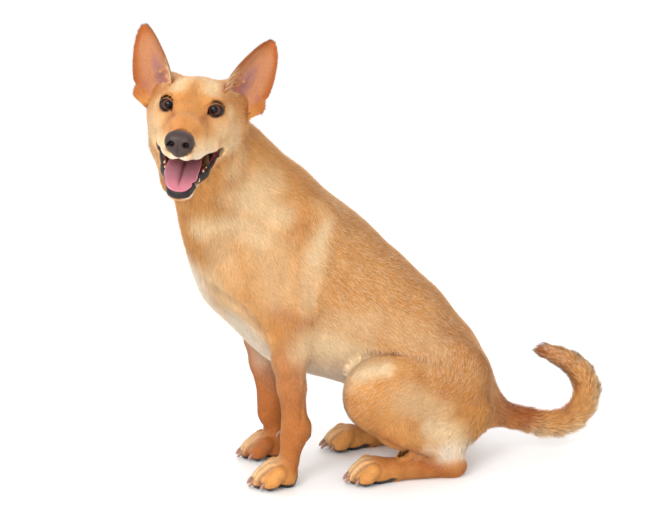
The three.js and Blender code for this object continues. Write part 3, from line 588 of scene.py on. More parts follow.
def eye_coords(h, s):
    place, outer, lid_up, gaze = EYE_FRAMES[s]
    q = h - place
    return q @ outer, q @ lid_up, q @ gaze


def lid_gap(x, y):
    """Below nought inside the opening between the lids, above it on the lids: millimetres, roughly."""
    high = np.where(y > 0, LID_TOP, LID_BOTTOM)
    r = (np.abs(x / LID_HALF) ** 1.7 + np.abs(y / high) ** 1.9) ** 0.55
    return (r - 1) * 0.5 * (LID_HALF + high)


def detail_region(p):
    h = in_head(p)
    eyes = np.zeros(len(p), bool)
    for s in (-1, 1):
        x, y, z = eye_coords(h, s)
        eyes |= (np.abs(x) < 17) & (np.abs(y) < 14) & (z > 3)
    mouth = (h[:, 0] > -30) & (h[:, 0] < 100) & (np.abs(h[:, 1]) < 60) & (h[:, 2] > -130) & (h[:, 2] < -30)
    i = np.flatnonzero(mouth)
    mouth[i] = (np.abs(field(MOUTH_SPACE, p[i], 12)) < 5) & (field(BODY_BARS, p[i], 12) > -9)
    return eyes | mouth | (np.abs(sunk(p)) > 0.7) | toe_region(p)


def lid_region(p):
    h = in_head(p)
    near = np.zeros(len(p), bool)
    for s in (-1, 1):
        x, y, z = eye_coords(h, s)
        near |= (np.abs(x) < 15) & (np.abs(y) < 12.5) & (z > 3)
    return near


def settled_skin(**how):
    """The skin's points, moved to lie as deep as the coat and the creases say."""
    p = points_of(skin)
    depth = coat_at(FLESH_BARS, p)[0]
    return settle(p, FLESH_BARS, depth + sunk(p), **how)


subdivide_where(skin, face_region)
set_points(skin, settled_skin())
subdivide_where(skin, detail_region)
subdivide_where(skin, lid_region)
p = settled_skin(passes=3, most=3.0)

# the lids lie over the ball of each eye, with a fold above and below
h = in_head(p)
for s in (-1, 1):
    x, y, z = eye_coords(h, s)
    around = (z > 2) & (np.abs(x) < 20) & (np.abs(y) < 18) & (np.hypot(np.hypot(x, y), z) < 24)
    gap = lid_gap(x, y)
    way = unit_rows(h - EYE_FRAMES[s][0], 1)
    fold = -0.7 * np.exp(-((gap - 5.6) / 1.5) ** 2) * (y > -2)
    fold -= 0.6 * np.exp(-((gap - 5.0) / 1.5) ** 2) * (y < 0)
    h = h + way * (around * fold)[:, None]
# the furrow up the forehead, and the hollow between each eye and the bridge of the nose
h[:, 2] -= 1.5 * np.exp(-(h[:, 1] / 6) ** 2 - ((h[:, 0] + 28) / 20) ** 2) * (h[:, 2] > 0)
for s in (-1, 1):
    h[:, 1] -= s * 1.3 * np.exp(-((h - (18, s * 24, -14)) ** 2).sum(1) / 60)
set_points(skin, at_head(h))

# Each ear is a leaf of thin gristle bent into a cup, with folds at its root and a small pocket on its outer
# edge.
EAR_LENGTH, EAR_THICK = 118, 3.6
EAR_WIDTH = {1: 69, -1: 74}
EAR_ROWS, EAR_COLUMNS = 40, 28
EAR_FRAMES = {}
for s, tip, facing in ((1, (-92, 101.5, 88), (0.88, 0.48, 0)), (-1, (-92, -98, 97), (0.84, -0.55, 0))):
    foot = np.array([-80, s * 56, -16.0])
    along = unit(np.array(tip) - foot)
    facing = np.array(facing)
    facing = unit(facing - along * (along @ facing))
    EAR_FRAMES[s] = (foot, along, facing, np.cross(along, facing) * -s)


def ear_half(s, v):
    v = np.clip(v, 0, 0.988)
    return EAR_WIDTH[s] / 2 * np.sqrt(1 - v ** 1.8) * (1.06 - 0.62 * (1 - v) ** 4.5)


def ear_inner(u, v):
    return np.where(u > 0, 0.9 + 0.6 * (1 - v), 1)


def ear_cup(u, v):
    return (26 * (1 - v) ** 0.9 + 4) * u * u - 12


def ear_surface(s, u, v, face):
    foot, along, facing, wide = EAR_FRAMES[s]
    thick = EAR_THICK / 2 * np.sqrt(1 - 0.8 * u * u)
    lift = ear_cup(u, v) + face * thick
    # folds of the cup's floor, seen from the front, the rolled rim, and the hollow that leads in
    folds = 2.6 * np.exp(-((u - 0.42 + 0.5 * v) / 0.09) ** 2)
    folds += 1.8 * np.exp(-((u + 0.2 - 0.25 * v) / 0.1) ** 2)
    folds += 3.6 * np.exp(-((v - 0.36 - 0.12 * u) / 0.025) ** 2 - ((u - 0.2) / 0.36) ** 2)
    folds -= 4.2 * np.exp(-((v - 0.24 - 0.1 * u) / 0.085) ** 2 - ((u - 0.34) / 0.28) ** 2)
    lift = lift + np.where(face > 0, folds * smooth_step(0.8 - v, 0, 0.4), 0)
    lift = lift + 0.9 * smooth_step(np.abs(u), 0.8, 0.97) * (1 - v)
    # the small pocket low on the outer edge, and the lobe under it
    pocket = np.exp(-((v - 0.30) / 0.035) ** 2) * smooth_step(-u, 0.62, 1)
    lobe = np.exp(-((v - 0.17) / 0.09) ** 2) * smooth_step(-u, 0.3, 1)
    lift = lift - 3.4 * pocket + 3.0 * lobe
    side = u * ear_half(s, v) * ear_inner(u, v) + 1.6 * pocket - 5.0 * lobe
    return foot + along * (v * EAR_LENGTH)[:, None] + wide * side[:, None] + facing * lift[:, None]


def ear_coords(h, s):
    """Across the ear from -1 (outer edge) to 1 (inner), up it from 0 to 1, and height off its middle."""
    foot, along, facing, wide = EAR_FRAMES[s]
    q = h - foot
    v = q @ along / EAR_LENGTH
    side = q @ wide
    u = side / np.maximum(ear_half(s, v) * ear_inner(side, v), 1)
    return u, v, q @ facing - ear_cup(u, np.clip(v, 0, 1))


def make_ear(s, name):
    up, across = np.linspace(0, 1, EAR_ROWS + 1), np.linspace(-1, 1, EAR_COLUMNS + 1)
    rows, columns = np.meshgrid(up, across, indexing="ij")
    v, u = rows.ravel() ** 0.9, np.sin(columns.ravel() * math.pi / 2)
    sheets = [at_head(ear_surface(s, u, v, face)) for face in (1, -1)]
    wide = EAR_COLUMNS + 1
    back_start = (EAR_ROWS + 1) * wide
    faces = []

    def strip(a, b, c, d):
        faces.append((a, b, c, d) if s < 0 else (d, c, b, a))

    for r in range(EAR_ROWS):
        for c in range(EAR_COLUMNS):
            a, b = r * wide + c, (r + 1) * wide + c
            strip(a, a + 1, b + 1, b)
            strip(back_start + a, back_start + b, back_start + b + 1, back_start + a + 1)
        a, b = r * wide, (r + 1) * wide
        strip(a, b, back_start + b, back_start + a)
        a, b = a + EAR_COLUMNS, b + EAR_COLUMNS
        strip(back_start + a, back_start + b, b, a)
    for c in range(EAR_COLUMNS):
        strip(c + 1, c, back_start + c, back_start + c + 1)
        a = EAR_ROWS * wide + c
        strip(a, a + 1, back_start + a + 1, back_start + a)
    return new_piece(name, np.concatenate(sheets), faces)


def tube_mesh(name, rings, closed):
    """A piece whose surface runs through the rings in turn, each a row of points in the head's frame."""
    count, around = len(rings), len(rings[0])
    faces = []
    for i in range(count if closed else count - 1):
        for k in range(around):
            a, b = i * around + k, i * around + (k + 1) % around
            c, d = (a + around) % (count * around), (b + around) % (count * around)
            faces.append((a, b, d, c))
    if not closed:
        faces += [tuple(range(around)), tuple(range((count - 1) * around, count * around))]
    return new_piece(name, at_head(np.concatenate(rings)), faces)


def round_turn(count):
    return np.linspace(0, 2 * math.pi, count, endpoint=False)


LID_POINTS, LID_OUT = 64, 1.2


def lid_line():
    """Points just outside the opening between the lids, drawn down at the tear corner."""
    t = round_turn(LID_POINTS)
    c, v = np.cos(t), np.sin(t)
    x = (LID_HALF + LID_OUT) * np.sign(c) * np.abs(c) ** 1.16
    y = (np.where(v > 0, LID_TOP, LID_BOTTOM) + LID_OUT) * np.sign(v) * np.abs(v) ** 1.05
    corner = np.exp(-((t - math.pi - 0.12) / 0.3) ** 2)
    return x - 2.6 * corner, y - 1.4 * corner, corner


def lid_ring(s):
    """The thick rim of the lids."""
    place, *axes = EYE_FRAMES[s]
    x, y, corner = lid_line()
    out = EYE_RADIUS + 0.8
    middle = np.stack([x, y, np.sqrt(np.maximum(out ** 2 - x * x - y * y, 4))], 1)
    ahead = unit_rows(np.roll(middle, -1, 0) - np.roll(middle, 1, 0))
    radial = unit_rows(middle)
    side = np.cross(ahead, radial)
    thick = 1.45 + 0.5 * corner
    turn = round_turn(10)[:, None]
    rings = []
    for i in range(len(x)):
        local = middle[i] + thick[i] * (np.cos(turn) * side[i] + 0.85 * np.sin(turn) * radial[i])
        rings.append(place + local @ np.stack(axes))
    return tube_mesh("lid_rim", rings, True)


def lid_cutter(s):
    """What is taken out of the skin between the lids."""
    place, *axes = EYE_FRAMES[s]
    x, y, _ = lid_line()
    rings = [place + np.stack([x * w, y * w, np.full(len(x), z)], 1) @ np.stack(axes)
             for z, w in ((0.5, 0.96), (22, 1.1))]
    return tube_mesh("lid_opening", rings, False)


def weld(piece, operation):
    only(skin)
    step = skin.modifiers.new("weld", "BOOLEAN")
    step.operation = operation
    step.solver = "MANIFOLD"
    step.object = piece
    bpy.ops.object.modifier_apply(modifier="weld")
    bpy.data.objects.remove(piece)


for s, name in ((1, "left_ear_skin"), (-1, "right_ear_skin")):
    weld(make_ear(s, name), "UNION")
    weld(lid_cutter(s), "DIFFERENCE")
    weld(lid_ring(s), "UNION")
smooth_shading(skin)

# ----------------------------------------------------------------------------------------------------------
# The markings, which the skin and the coat share: cream under the body, pale bands, rust where the coat is
# richest, black on lips, lids and pads, and the pink of thinly haired skin. Rust and black also lay painted
# shade into the creases and over the far foreleg, and the mouth's dark red lays painted shade into the ears'
# hollows.
# Most are soft brush strokes, from one point to the next with a width and a strength, the same on both sides
# of the body and the head.

BODY_STROKES = {
    "cream": [
        ((-256, 8, 338), (-186, 8, 262), 25, 1.0), ((-186, 15, 262), (-126, 15, 196), 40, 1.0),
        ((-90, 20, 180), (0, 30, 150), 40, 0.9), ((0, 30, 150), (90, 30, 90), 40, 0.8),
        ((104, 92, 58), (134, 90, 44), 10, 0.75), ((134, 90, 48), (176, 76, 44), 15, 1.0),
        ((28, 60, 120), (110, 50, 60), 26, 0.7), ((-48, 84, 446), (-44, 86, 428), 9, 0.55),
    ],
    "pale": [
        ((-134, 84, 500), (-176, 84, 466), 28, 0.8), ((-136, 84, 442), (-176, 82, 462), 24, 0.75),
        ((-156, 84, 408), (-190, 72, 426), 22, 0.7), ((-190, 72, 430), (-246, 60, 420), 18, 0.75),
        ((-160, 88, 440), (-200, 80, 470), 20, 0.5),
        ((-66, 80, 468), (-42, 84, 440), 13, 1.0), ((-42, 84, 440), (-61, 88, 408), 13, 1.0),
        ((-61, 88, 408), (-82, 90, 372), 16, 0.75), ((-82, 90, 372), (-92, 94, 310), 17, 0.55),
        ((-86, 80, 236), (-12, 80, 205), 30, 0.85), ((-226, 60, 340), (-160, 62, 250), 24, 0.7),
        ((-64, 88, 262), (6, 90, 258), 24, 0.35), ((-8, 110, 190), (34, 112, 196), 12, 0.85),
        ((-20, 108, 172), (-8, 108, 190), 12, 0.3), ((63, 108, 145), (128, 98, 108), 22, 0.5),
        ((116, 98, 90), (160, 84, 66), 20, 0.85), ((-150, 92, 392), (-136, 92, 330), 34, 0.42),
        ((-168, 71, 22), (-140, 71, 32), 14, 0.65), ((-18, 84, 22), (8, 84, 30), 14, 0.6),
        ((-215, 62, 395), (-196, 66, 345), 26, 0.5), ((-96, 62, 122), (-92, 66, 150), 6, 0.5),
        ((60, 92, 250), (120, 80, 215), 26, 0.22), ((-104, 96, 300), (-96, 96, 290), 10, 0.6),
    ],
    "rust_and_shade": [
        ((250, 0, 100), (296, 4, 76), 26, 1.0), ((290, 4, 84), (372, 10, 64), 12, 0.6),
        ((236, 30, 100), (250, 10, 64), 16, 0.75), ((-206, 62, 466), (-262, 44, 438), 9, 0.6),
        ((-200, 66, 480), (-206, 66, 468), 8, 0.4), ((-137, 98, 294), (-98, 96, 274), 15, 0.6),
        ((-128, 92, 280), (-112, 90, 228), 20, 0.45), ((-113, 84, 225), (-100, 78, 50), 28, 0.78),
        ((150, 50, 236), (226, 46, 140), 30, 0.45), ((-80, 84, 462), (-92, 88, 434), 13, 0.22),
        ((-92, 88, 434), (-106, 90, 404), 15, 0.22), ((-100, 40, 500), (10, 40, 425), 18, 0.2),
        # painted shade in rust: the second stroke on the next line and both on the line after follow the
        # flank's crease, and the first on the third line lies behind the shin
        ((10, 40, 425), (190, 40, 235), 24, 0.3), ((-6, 98, 216), (38, 100, 224), 9, 0.55),
        ((38, 100, 224), (80, 96, 217), 9, 0.6), ((80, 96, 215), (128, 92, 196), 10, 0.4),
        ((16, 112, 92), (104, 98, 36), 9, 0.5), ((100, 92, 22), (176, 88, 12), 15, 0.95),
        ((20, 90, 30), (100, 92, 22), 15, 0.7), ((-130, 71, 30), (-110, 71, 70), 16, 0.3),
        ((30, 92, 150), (90, 100, 170), 18, 0.28),
        ((-146, 71, 40), (-120, 71, 70), 14, 0.25), ((-20, 108, 150), (10, 108, 110), 16, 0.35),
        ((140, 80, 150), (180, 60, 130), 24, 0.35), ((60, 100, 120), (110, 96, 90), 14, 0.2),
    ],
    "pink": [((-104, 102, 268), (-103, 102, 262), 3.5, 0.9)],
}
TAIL_STROKES = {
    "rust_and_shade": [((300, 7, 188), (334, 9, 176), 20, 1.0), ((334, 9, 172), (378, 12, 146), 13, 0.7),
             ((378, 12, 146), (398, 13, 104), 8, 0.6), ((398, 13, 98), (372, 10, 66), 9, 0.6)],
    "pale": [((300, 4, 34), (352, 8, 22), 16, 0.9), ((352, 8, 22), (414, 12, 34), 17, 0.9),
             ((414, 12, 34), (442, 14, 84), 17, 0.85), ((442, 14, 84), (434, 14, 130), 14, 0.7),
             ((434, 14, 130), (400, 13, 168), 10, 0.4)],
    "cream": [((296, 4, 32), (352, 8, 18), 10, 0.7)],
}
HEAD_STROKES = {
    "cream": [((86, 6, -54), (66, 18, -58), 8, 1.0), ((66, 20, -57), (40, 30, -60), 7, 0.9),
              ((40, 30, -60), (12, 38, -62), 6, 0.7), ((60, 14, -116), (30, 26, -112), 7, 0.9)],
    "pale": [((-52, 24, 30), (-24, 24, 22), 12, 0.75), ((-66, 12, 34), (-40, 14, 30), 14, 0.4),
             ((-30, 52, -8), (-6, 46, -26), 10, 0.5),
             ((0, 42, -34), (-40, 58, -40), 18, 0.6), ((78, 16, -46), (14, 36, -50), 12, 0.85),
             ((-14, 50, -60), (-50, 60, -56), 14, 0.7),
             ((-70, 62, -80), (-60, 60, -100), 16, 0.5), ((-84, 40, 32), (-74, 52, 18), 8, 0.4)],
    "rust_and_shade": [((10, 22, -8), (42, 17, -18), 5.5, 0.75), ((42, 17, -18), (70, 15, -24), 6, 0.5),
             ((3, 22, 13), (-2, 31, 15), 3.4, 0.75), ((-52, 0, 34), (0, 0, 12), 3.0, 0.25),
             ((6, 24, -4), (9, 20, -8), 4.5, 0.8), ((-20, 50, 8), (-50, 58, 4), 7, 0.3),
             ((-78, 44, 40), (-70, 60, 10), 6, 0.6), ((80, 0, -16), (60, 0, -10), 8, 0.45),
             ((-46, 68, -30), (-50, 64, -70), 7, 0.35), ((-70, 60, -112), (-58, 52, -122), 9, 0.5),
             ((-84, 66, 10), (-80, 74, -20), 8, 0.7), ((-10, 0, 4), (70, 0, -12), 16, 0.3),
             ((14, 24, -12), (40, 24, -30), 7, 0.5)],
}


def strokes(p, marks):
    total = np.zeros(len(p))
    for a, b, width, strength in marks:
        a, ab = np.array(a, float), np.array(b, float) - a
        off = p - a
        t = np.clip(off @ ab / (ab @ ab), 0, 1)
        r2 = ((off - t[:, None] * ab) ** 2).sum(1)
        total = np.maximum(total, strength * np.exp(-(r2 / (1.5 * width ** 2)) ** 1.4))
    return total


def pads(p):
    """The black soles: toe pads, the big pad behind them, and the small one behind each wrist."""
    mask = np.zeros(len(p))
    for (x, y), paw in PAW_PLACES:
        inside = (np.abs(p[:, 1] - y) < 40) & (p[:, 0] > x - paw["length"] - 16) & (p[:, 0] < x + 24)
        mask = np.maximum(mask, inside * smooth_step(-p[:, 2], -9.5, -6.5))
        fore = paw is FOREPAW
        heel = np.exp(-(((p - (x + 20, y, 8)) / ((13, 26, 15) if fore else (16, 24, 7))) ** 2).sum(1) ** 1.5)
        mask = np.maximum(mask, smooth_step(heel, 0.3, 0.6) * (p[:, 2] < 27))
    for hand in (LEFT, RIGHT):
        knob = np.array([-77 + FORE_LEAN[hand] * 0.65, hand * FORE_SPREAD, 77])
        mask = np.maximum(mask, smooth_step(-np.linalg.norm(p - knob, axis=1), -12, -10))
    return mask


def ear_part(h):
    """Which points are on an ear, with their place across it, up it, and which side of it they are on."""
    on = np.zeros(len(h), bool)
    u, v, off = np.zeros(len(h)), np.zeros(len(h)), np.zeros(len(h))
    for s in (-1, 1):
        i = np.flatnonzero((h[:, 1] * s > 20) & (h[:, 2] > -30) & (h[:, 0] < -40))
        uu, vv, ff = ear_coords(h[i], s)
        hit = (vv > 0.02) & (vv < 1.1) & (np.abs(uu) < 1.25) & (np.abs(ff) < 7)
        hit &= field(FLESH_BARS, at_head(h[i]), 20) > -2.6
        j = i[hit]
        on[j], u[j], v[j], off[j] = True, uu[hit], vv[hit], ff[hit]
    return on, u, v, off


def noise_at(p, size, seed):
    """Smooth wandering values from -1 to 1, from a few crossing waves."""
    waves = np.random.default_rng(seed)
    total = np.zeros(len(p))
    for _ in range(7):
        way = waves.normal(size=3)
        way *= 2 * math.pi / size / np.linalg.norm(way) * waves.uniform(0.6, 1.5)
        total += np.sin(p @ way + waves.uniform(0, 6.28))
    return total / 4


def markings(p):
    """Cream, pale, rust, black, pink and mouth, each from 0 to 1, with painted shade in rust, black and
    mouth; soft is black with fainter painted crease shade.
    """
    wander = np.stack([noise_at(p, 34, seed) for seed in (3, 4, 5)], 1)
    both = (p + 3.0 * wander) * (1, 0, 1)
    both[:, 1] = np.abs(p[:, 1])
    tail = p + 2.0 * wander
    far_foreleg_shade = (p[:, 0] < -60) & (p[:, 2] < 262) & (p[:, 1] > 30)
    h = in_head(p)
    face = h + 1.2 * np.stack([noise_at(p, 12, seed) for seed in (6, 7, 8)], 1)
    face[:, 1] = np.abs(face[:, 1])
    rows = {}
    for name in BODY_STROKES:
        rows[name] = strokes(both, BODY_STROKES[name])
        rows[name] = np.maximum(rows[name], strokes(tail, TAIL_STROKES.get(name, [])))
        rows[name] = np.maximum(rows[name], strokes(face, HEAD_STROKES.get(name, [])))
    # painted shade: rust over the far foreleg and the far side of the chest below the elbow, where the near
    # leg shades them
    rows["rust_and_shade"] = np.maximum(rows["rust_and_shade"], 0.85 * far_foreleg_shade * smooth_step(-p[:, 2], -262, -210))
    on_ear, u, v, off = ear_part(h)
    rim = smooth_step(np.abs(u), 0.55, 0.95) + smooth_step(v, 0.72, 1.0)
    in_ear = on_ear & (off > 0)
    ear_rust = np.where(off > 0, 0.25 + 0.75 * rim, 0.75) * smooth_step(v, 0.04, 0.2)
    rows["rust_and_shade"] = np.where(on_ear, np.clip(ear_rust, 0, 1), rows["rust_and_shade"])
    bare = np.exp(-((u - 0.08) / 0.5) ** 2) * smooth_step(1.0 - v, 0.05, 0.55)
    ear_pink = np.maximum(0.95 * bare, 0.45 * (1 - np.minimum(rim, 1)))
    rows["pink"] = np.where(in_ear, ear_pink, rows["pink"])
    # painted shade: the mouth's dark red laid into the deep hollow low in each ear and into the pocket on its
    # outer edge
    hollow = np.exp(-((u - 0.42) / 0.24) ** 2 - ((v - 0.22) / 0.1) ** 2)
    hollow = np.maximum(hollow, 0.8 * np.exp(-((u + 0.75) / 0.14) ** 2 - ((v - 0.27) / 0.05) ** 2))
    # black rims of the lids, with the tear corner drawn out towards the nose
    black = pads(p)
    for s in (-1, 1):
        x, y, z = eye_coords(h, s)
        near = (z > 0) & (np.hypot(x, y) < 24)
        corner = np.exp(-((x + 12.5) / 3.2) ** 2 - ((y + 3.5) / 2.0) ** 2)
        lid = np.maximum(smooth_step(-lid_gap(x, y), -3.2, -1.4), smooth_step(corner, 0.3, 0.7))
        black = np.maximum(black, near * lid)
        rows["rust_and_shade"] = np.maximum(rows["rust_and_shade"], near * 0.7 * np.exp(-(lid_gap(x, y) / 6.5) ** 2))
    # lips: thin and black above, broad and black below and round the chin; the mouth's lining inside them
    ahead, up = h[:, 0] - JAW_HINGE[0], h[:, 2] - JAW_HINGE[1]
    jaw_ahead = JAW_HINGE[0] + ahead * math.cos(JAW_OPEN) - up * math.sin(JAW_OPEN)
    jaw_up = JAW_HINGE[1] + ahead * math.sin(JAW_OPEN) + up * math.cos(JAW_OPEN)
    level = smooth_step(jaw_up, -68.5, -66) * (jaw_up < -46)
    black = np.maximum(black, level * (jaw_ahead > 22) * (jaw_ahead < 112) * (np.abs(h[:, 1]) < 45))
    near = (h[:, 0] > -40) & (h[:, 0] < 110) & (np.abs(h[:, 1]) < 62)
    i = np.flatnonzero(near & (h[:, 2] > -130) & (h[:, 2] < -30))
    m = field(MOUTH_SPACE, p[i], 30)
    outer = field(BODY_BARS, p[i], 30)
    below = h[i, 2] < -66 - 0.22 * (h[i, 0] + 15)
    broad = 4.2 + 6.0 * below * smooth_step(h[i, 0], -14, 14)
    lip = smooth_step(broad - m, 0, 2.2)
    black[i] = np.maximum(black[i], lip)
    rows["mouth"] = np.where(in_ear, 0.75 * hollow, 0)
    rows["mouth"][i] = smooth_step(-outer, 3.5, 6.5) * (m < 2.5) * smooth_step(-jaw_ahead[i], -70, -62)
    # painted shade: a darker line, in rust and black, in the bottom of the deepest creases and between the
    # toes
    rows["rust_and_shade"] = np.maximum(rows["rust_and_shade"], 0.6 * smooth_step(sunk(p), 1.0, 3.0))
    fold = 0.55 * groove(p, CREASES[0][0][:4], 3.4) + 0.15 * groove(p, CREASES[1][0], 3.0)
    fold = np.maximum(fold, 0.3 * smooth_step(toe_clefts(p), 1.0, 2.4))
    rows["black"] = np.maximum(black, fold)
    rows["soft"] = np.maximum(black, 0.7 * fold)
    return rows


def colour_layer(mesh, name, columns):
    layer = mesh.color_attributes.new(name, "FLOAT_COLOR", "POINT")
    layer.data.foreach_set("color", np.stack(columns, 1).astype(np.float32).ravel())


def mark_layers(mesh, rows):
    full = np.ones(len(rows["pink"]))
    colour_layer(mesh, "markings", [rows[k] for k in ("cream", "pale", "rust_and_shade", "black")])
    colour_layer(mesh, "flesh", [rows["pink"], rows["mouth"], 0 * full, full])


skin_points = points_of(skin)
skin_marks = markings(skin_points)
mark_layers(skin.data, skin_marks)


def shader(tree, kind, inputs=None, **settings):
    """A node, with its settings, and its inputs given as values or as other nodes' outputs."""
    node = tree.nodes.new(kind)
    for key, value in settings.items():
        setattr(node, key, value)
    for key, value in (inputs or {}).items():
        if isinstance(value, bpy.types.NodeSocket):
            tree.links.new(value, node.inputs[key])
        else:
            node.inputs[key].default_value = value
    return node


def srgb(r, g, b):
    """A colour as linear light, from the 0 to 255 of a colour picker."""
    return tuple(v / 255 / 12.92 if v < 11 else ((v / 255 + 0.055) / 1.055) ** 2.4 for v in (r, g, b)) + (1,)


def mix_colour(tree, share, a, b, blend="MIX"):
    node = shader(tree, "ShaderNodeMix", data_type="RGBA", blend_type=blend)
    for socket, value in ((node.inputs[0], share), (node.inputs[6], a), (node.inputs[7], b)):
        if isinstance(value, bpy.types.NodeSocket):
            tree.links.new(value, socket)
        else:
            socket.default_value = value
    return node.outputs[2]


def maths(tree, operation, a, b=0.0, clamp=False):
    node = shader(tree, "ShaderNodeMath", {0: a, 1: b}, operation=operation, use_clamp=clamp)
    return node.outputs[0]


def layer(tree, name):
    """The red, green, blue and alpha of a colour layer, each as an output."""
    seen = shader(tree, "ShaderNodeAttribute", attribute_name=name, attribute_type="GEOMETRY")
    split = shader(tree, "ShaderNodeSeparateColor", {0: seen.outputs["Color"]})
    return [*split.outputs, seen.outputs["Alpha"]]


def texture(tree, kind, scale, output="Fac", where=None, inputs=None, **settings):
    """A pattern that keeps still on the piece, or that follows another node's output."""
    if where is None:
        where = shader(tree, "ShaderNodeTexCoord").outputs["Object"]
    given = {"Vector": where, "Scale": scale, **(inputs or {})}
    return shader(tree, "ShaderNodeTex" + kind, given, **settings).outputs[output]


def noise(tree, scale, detail, where=None):
    return texture(tree, "Noise", scale, where=where, inputs={"Detail": detail})


def times(tree, a, b, clamp=False):
    return maths(tree, "MULTIPLY", a, b, clamp)


def plus(tree, a, b, clamp=False):
    return maths(tree, "ADD", a, b, clamp)


def finish_surface(tree, surface, colour, height, strength, distance):
    """Gives a material its colour and its fine relief."""
    tree.links.new(colour, surface.inputs["Base Color"])
    bump = shader(tree, "ShaderNodeBump", {"Height": height, "Strength": strength, "Distance": distance})
    tree.links.new(bump.outputs[0], surface.inputs["Normal"])


TAN, TAN_LIGHT = srgb(208, 134, 60), srgb(226, 162, 90)
PALE, CREAM, RUST = srgb(247, 214, 166), srgb(251, 234, 210), srgb(168, 86, 24)
BLACK, PINK, MOUTH_PINK = srgb(34, 27, 27), srgb(150, 102, 96), srgb(158, 78, 74)

# the group that turns the marks into the colour of the coat, for the skin and the tufts alike
coat_colour = bpy.data.node_groups.new("coat_colour", "ShaderNodeTree")
coat_colour.interface.new_socket("Blotches", in_out="INPUT", socket_type="NodeSocketFloat")
coat_colour.interface.new_socket("Color", in_out="OUTPUT", socket_type="NodeSocketColor")
group_in = coat_colour.nodes.new("NodeGroupInput")
group_out = coat_colour.nodes.new("NodeGroupOutput")
cream, pale, rust_and_shade, black = layer(coat_colour, "markings")
pink, mouth = layer(coat_colour, "flesh")[:2]
blotch = times(coat_colour, noise(coat_colour, 34.0, 3.0), group_in.outputs["Blotches"])
colour = mix_colour(coat_colour, blotch, TAN, TAN_LIGHT)
# rust and black also carry painted shade in the creases and on the far foreleg, and mouth carries it in the
# ears' hollows
for share, tint in (
        (rust_and_shade, RUST), (pale, PALE), (cream, CREAM), (pink, PINK), (black, BLACK), (mouth, MOUTH_PINK)):
    colour = mix_colour(coat_colour, share, colour, tint)
coat_colour.links.new(colour, group_out.inputs["Color"])


def new_material(name, roughness, **more):
    """A material, its nodes and its surface, whose other inputs are named with _ for each space."""
    material = bpy.data.materials.new(name)
    material.use_nodes = True
    surface = material.node_tree.nodes["Principled BSDF"]
    surface.inputs["Roughness"].default_value = roughness
    for key, value in more.items():
        surface.inputs[key.replace("_", " ")].default_value = value
    return material, material.node_tree, surface


skin_material, tree, surface = new_material("skin_under_coat", 0.7, Specular_IOR_Level=0.3)
ground = shader(tree, "ShaderNodeGroup", node_tree=coat_colour)
ground.inputs["Blotches"].default_value = 0.7
wet = layer(tree, "flesh")[1]
bare_black = layer(tree, "markings")[3]
grain = noise(tree, 420.0, 4.0)
pores = texture(tree, "Voronoi", 650.0, "Distance")
gloss = plus(tree, times(tree, bare_black, 0.3), times(tree, wet, 0.4), clamp=True)
tree.links.new(maths(tree, "SUBTRACT", 0.72, gloss), surface.inputs["Roughness"])
mottle = mix_colour(tree, 0.35, ground.outputs["Color"], grain, "OVERLAY")
relief = plus(tree, times(tree, grain, 0.7), times(tree, pores, 0.5))
finish_surface(tree, surface, mottle, relief, 0.5, 0.0007)
skin.data.materials.clear()
skin.data.materials.append(skin_material)

skin.data.uv_layers.new(name="OFBake")
open_mesh(skin)
bpy.ops.uv.smart_project(angle_limit=math.radians(66), island_margin=0.001)
close_mesh()
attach(skin, "root")
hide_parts(*FLESH, *EARS)

# ----------------------------------------------------------------------------------------------------------
# The coat. Thin tufts of hair are rooted all over the skin, shortest and finest on the face and feet. Each
# leaves the skin, bends over, and lies along the body with its tip at the coat's outer face, which is the
# solids' own.

REGIONS = ("ears", "head", "neck", "tail", "forelegs", "hindlegs", "trunk")
COVER = np.array([1.2, 1.2, 2.15, 4.0, 1.05, 1.4, 2.25])   # how many tufts deep the coat is, in each region
LONG_COAT = 6.3             # millimetres of depth, above which a tuft has a bend
PIECE_TRIANGLES = 190000    # the most in one piece of the coat
FEWEST = 20                 # a piece with fewer tufts than this is left out
SHORT_TRIANGLES, LONG_TRIANGLES = 4, 10
hairs = np.random.default_rng(11)

mesh = skin.data
mesh.calc_loop_triangles()
corner = read(mesh.loop_triangles, "vertices", 3, np.int32)
corner_loop = read(mesh.loop_triangles, "loops", 3, np.int32)
skin_normals = read(mesh.vertex_normals, "vector", 3, np.float32).astype(float)
skin_uv = read(mesh.uv_layers["OFBake"].data, "uv", 2, np.float32)

skin_depth, skin_lie = coat_at(FLESH_BARS, skin_points)
skin_head = in_head(skin_points)
on_ear, ear_u, ear_v, ear_off = ear_part(skin_head)
skin_depth = np.where(on_ear, np.where(ear_off > 0, 0.5 + 1.0 * np.abs(ear_u), 1.5), skin_depth)
for s in (-1, 1):
    _, along, _, wide = EAR_FRAMES[s]
    i = np.flatnonzero(on_ear & (skin_head[:, 1] * s > 0))
    spread = np.where(ear_off[i] > 0, -1.1 * smooth_step(ear_u[i], 0, 0.7), 0.5 * ear_u[i])
    skin_lie[i] = (along + wide * spread[:, None]) @ HEAD_AXES
skin_lie[:, 2] -= 0.22 * (~on_ear) * smooth_step(skin_points[:, 2], 90, 260) * (skin_points[:, 0] > -240)
bare = (np.maximum(skin_marks["soft"], skin_marks["mouth"]) > 0.5) & (~on_ear)
for s in (-1, 1):
    x, y, z = eye_coords(skin_head, s)
    bare |= (z > 0) & (np.hypot(x, y) < 22) & (lid_gap(x, y) < 2.9)
bare |= skin_points[:, 2] < 2.2
thin = np.where(skin_marks["pink"] > 0.5, np.where(on_ear, 0.22, 0.45), 1.0)


def tuft_length(depth):
    return 2.4 + 1.7 * np.minimum(depth, 5) + 0.8 * np.maximum(depth - 5, 0)


def tuft_width(depth):
    return 0.5 + 0.13 * np.minimum(depth, 5) + 0.04 * np.maximum(depth - 5, 0)


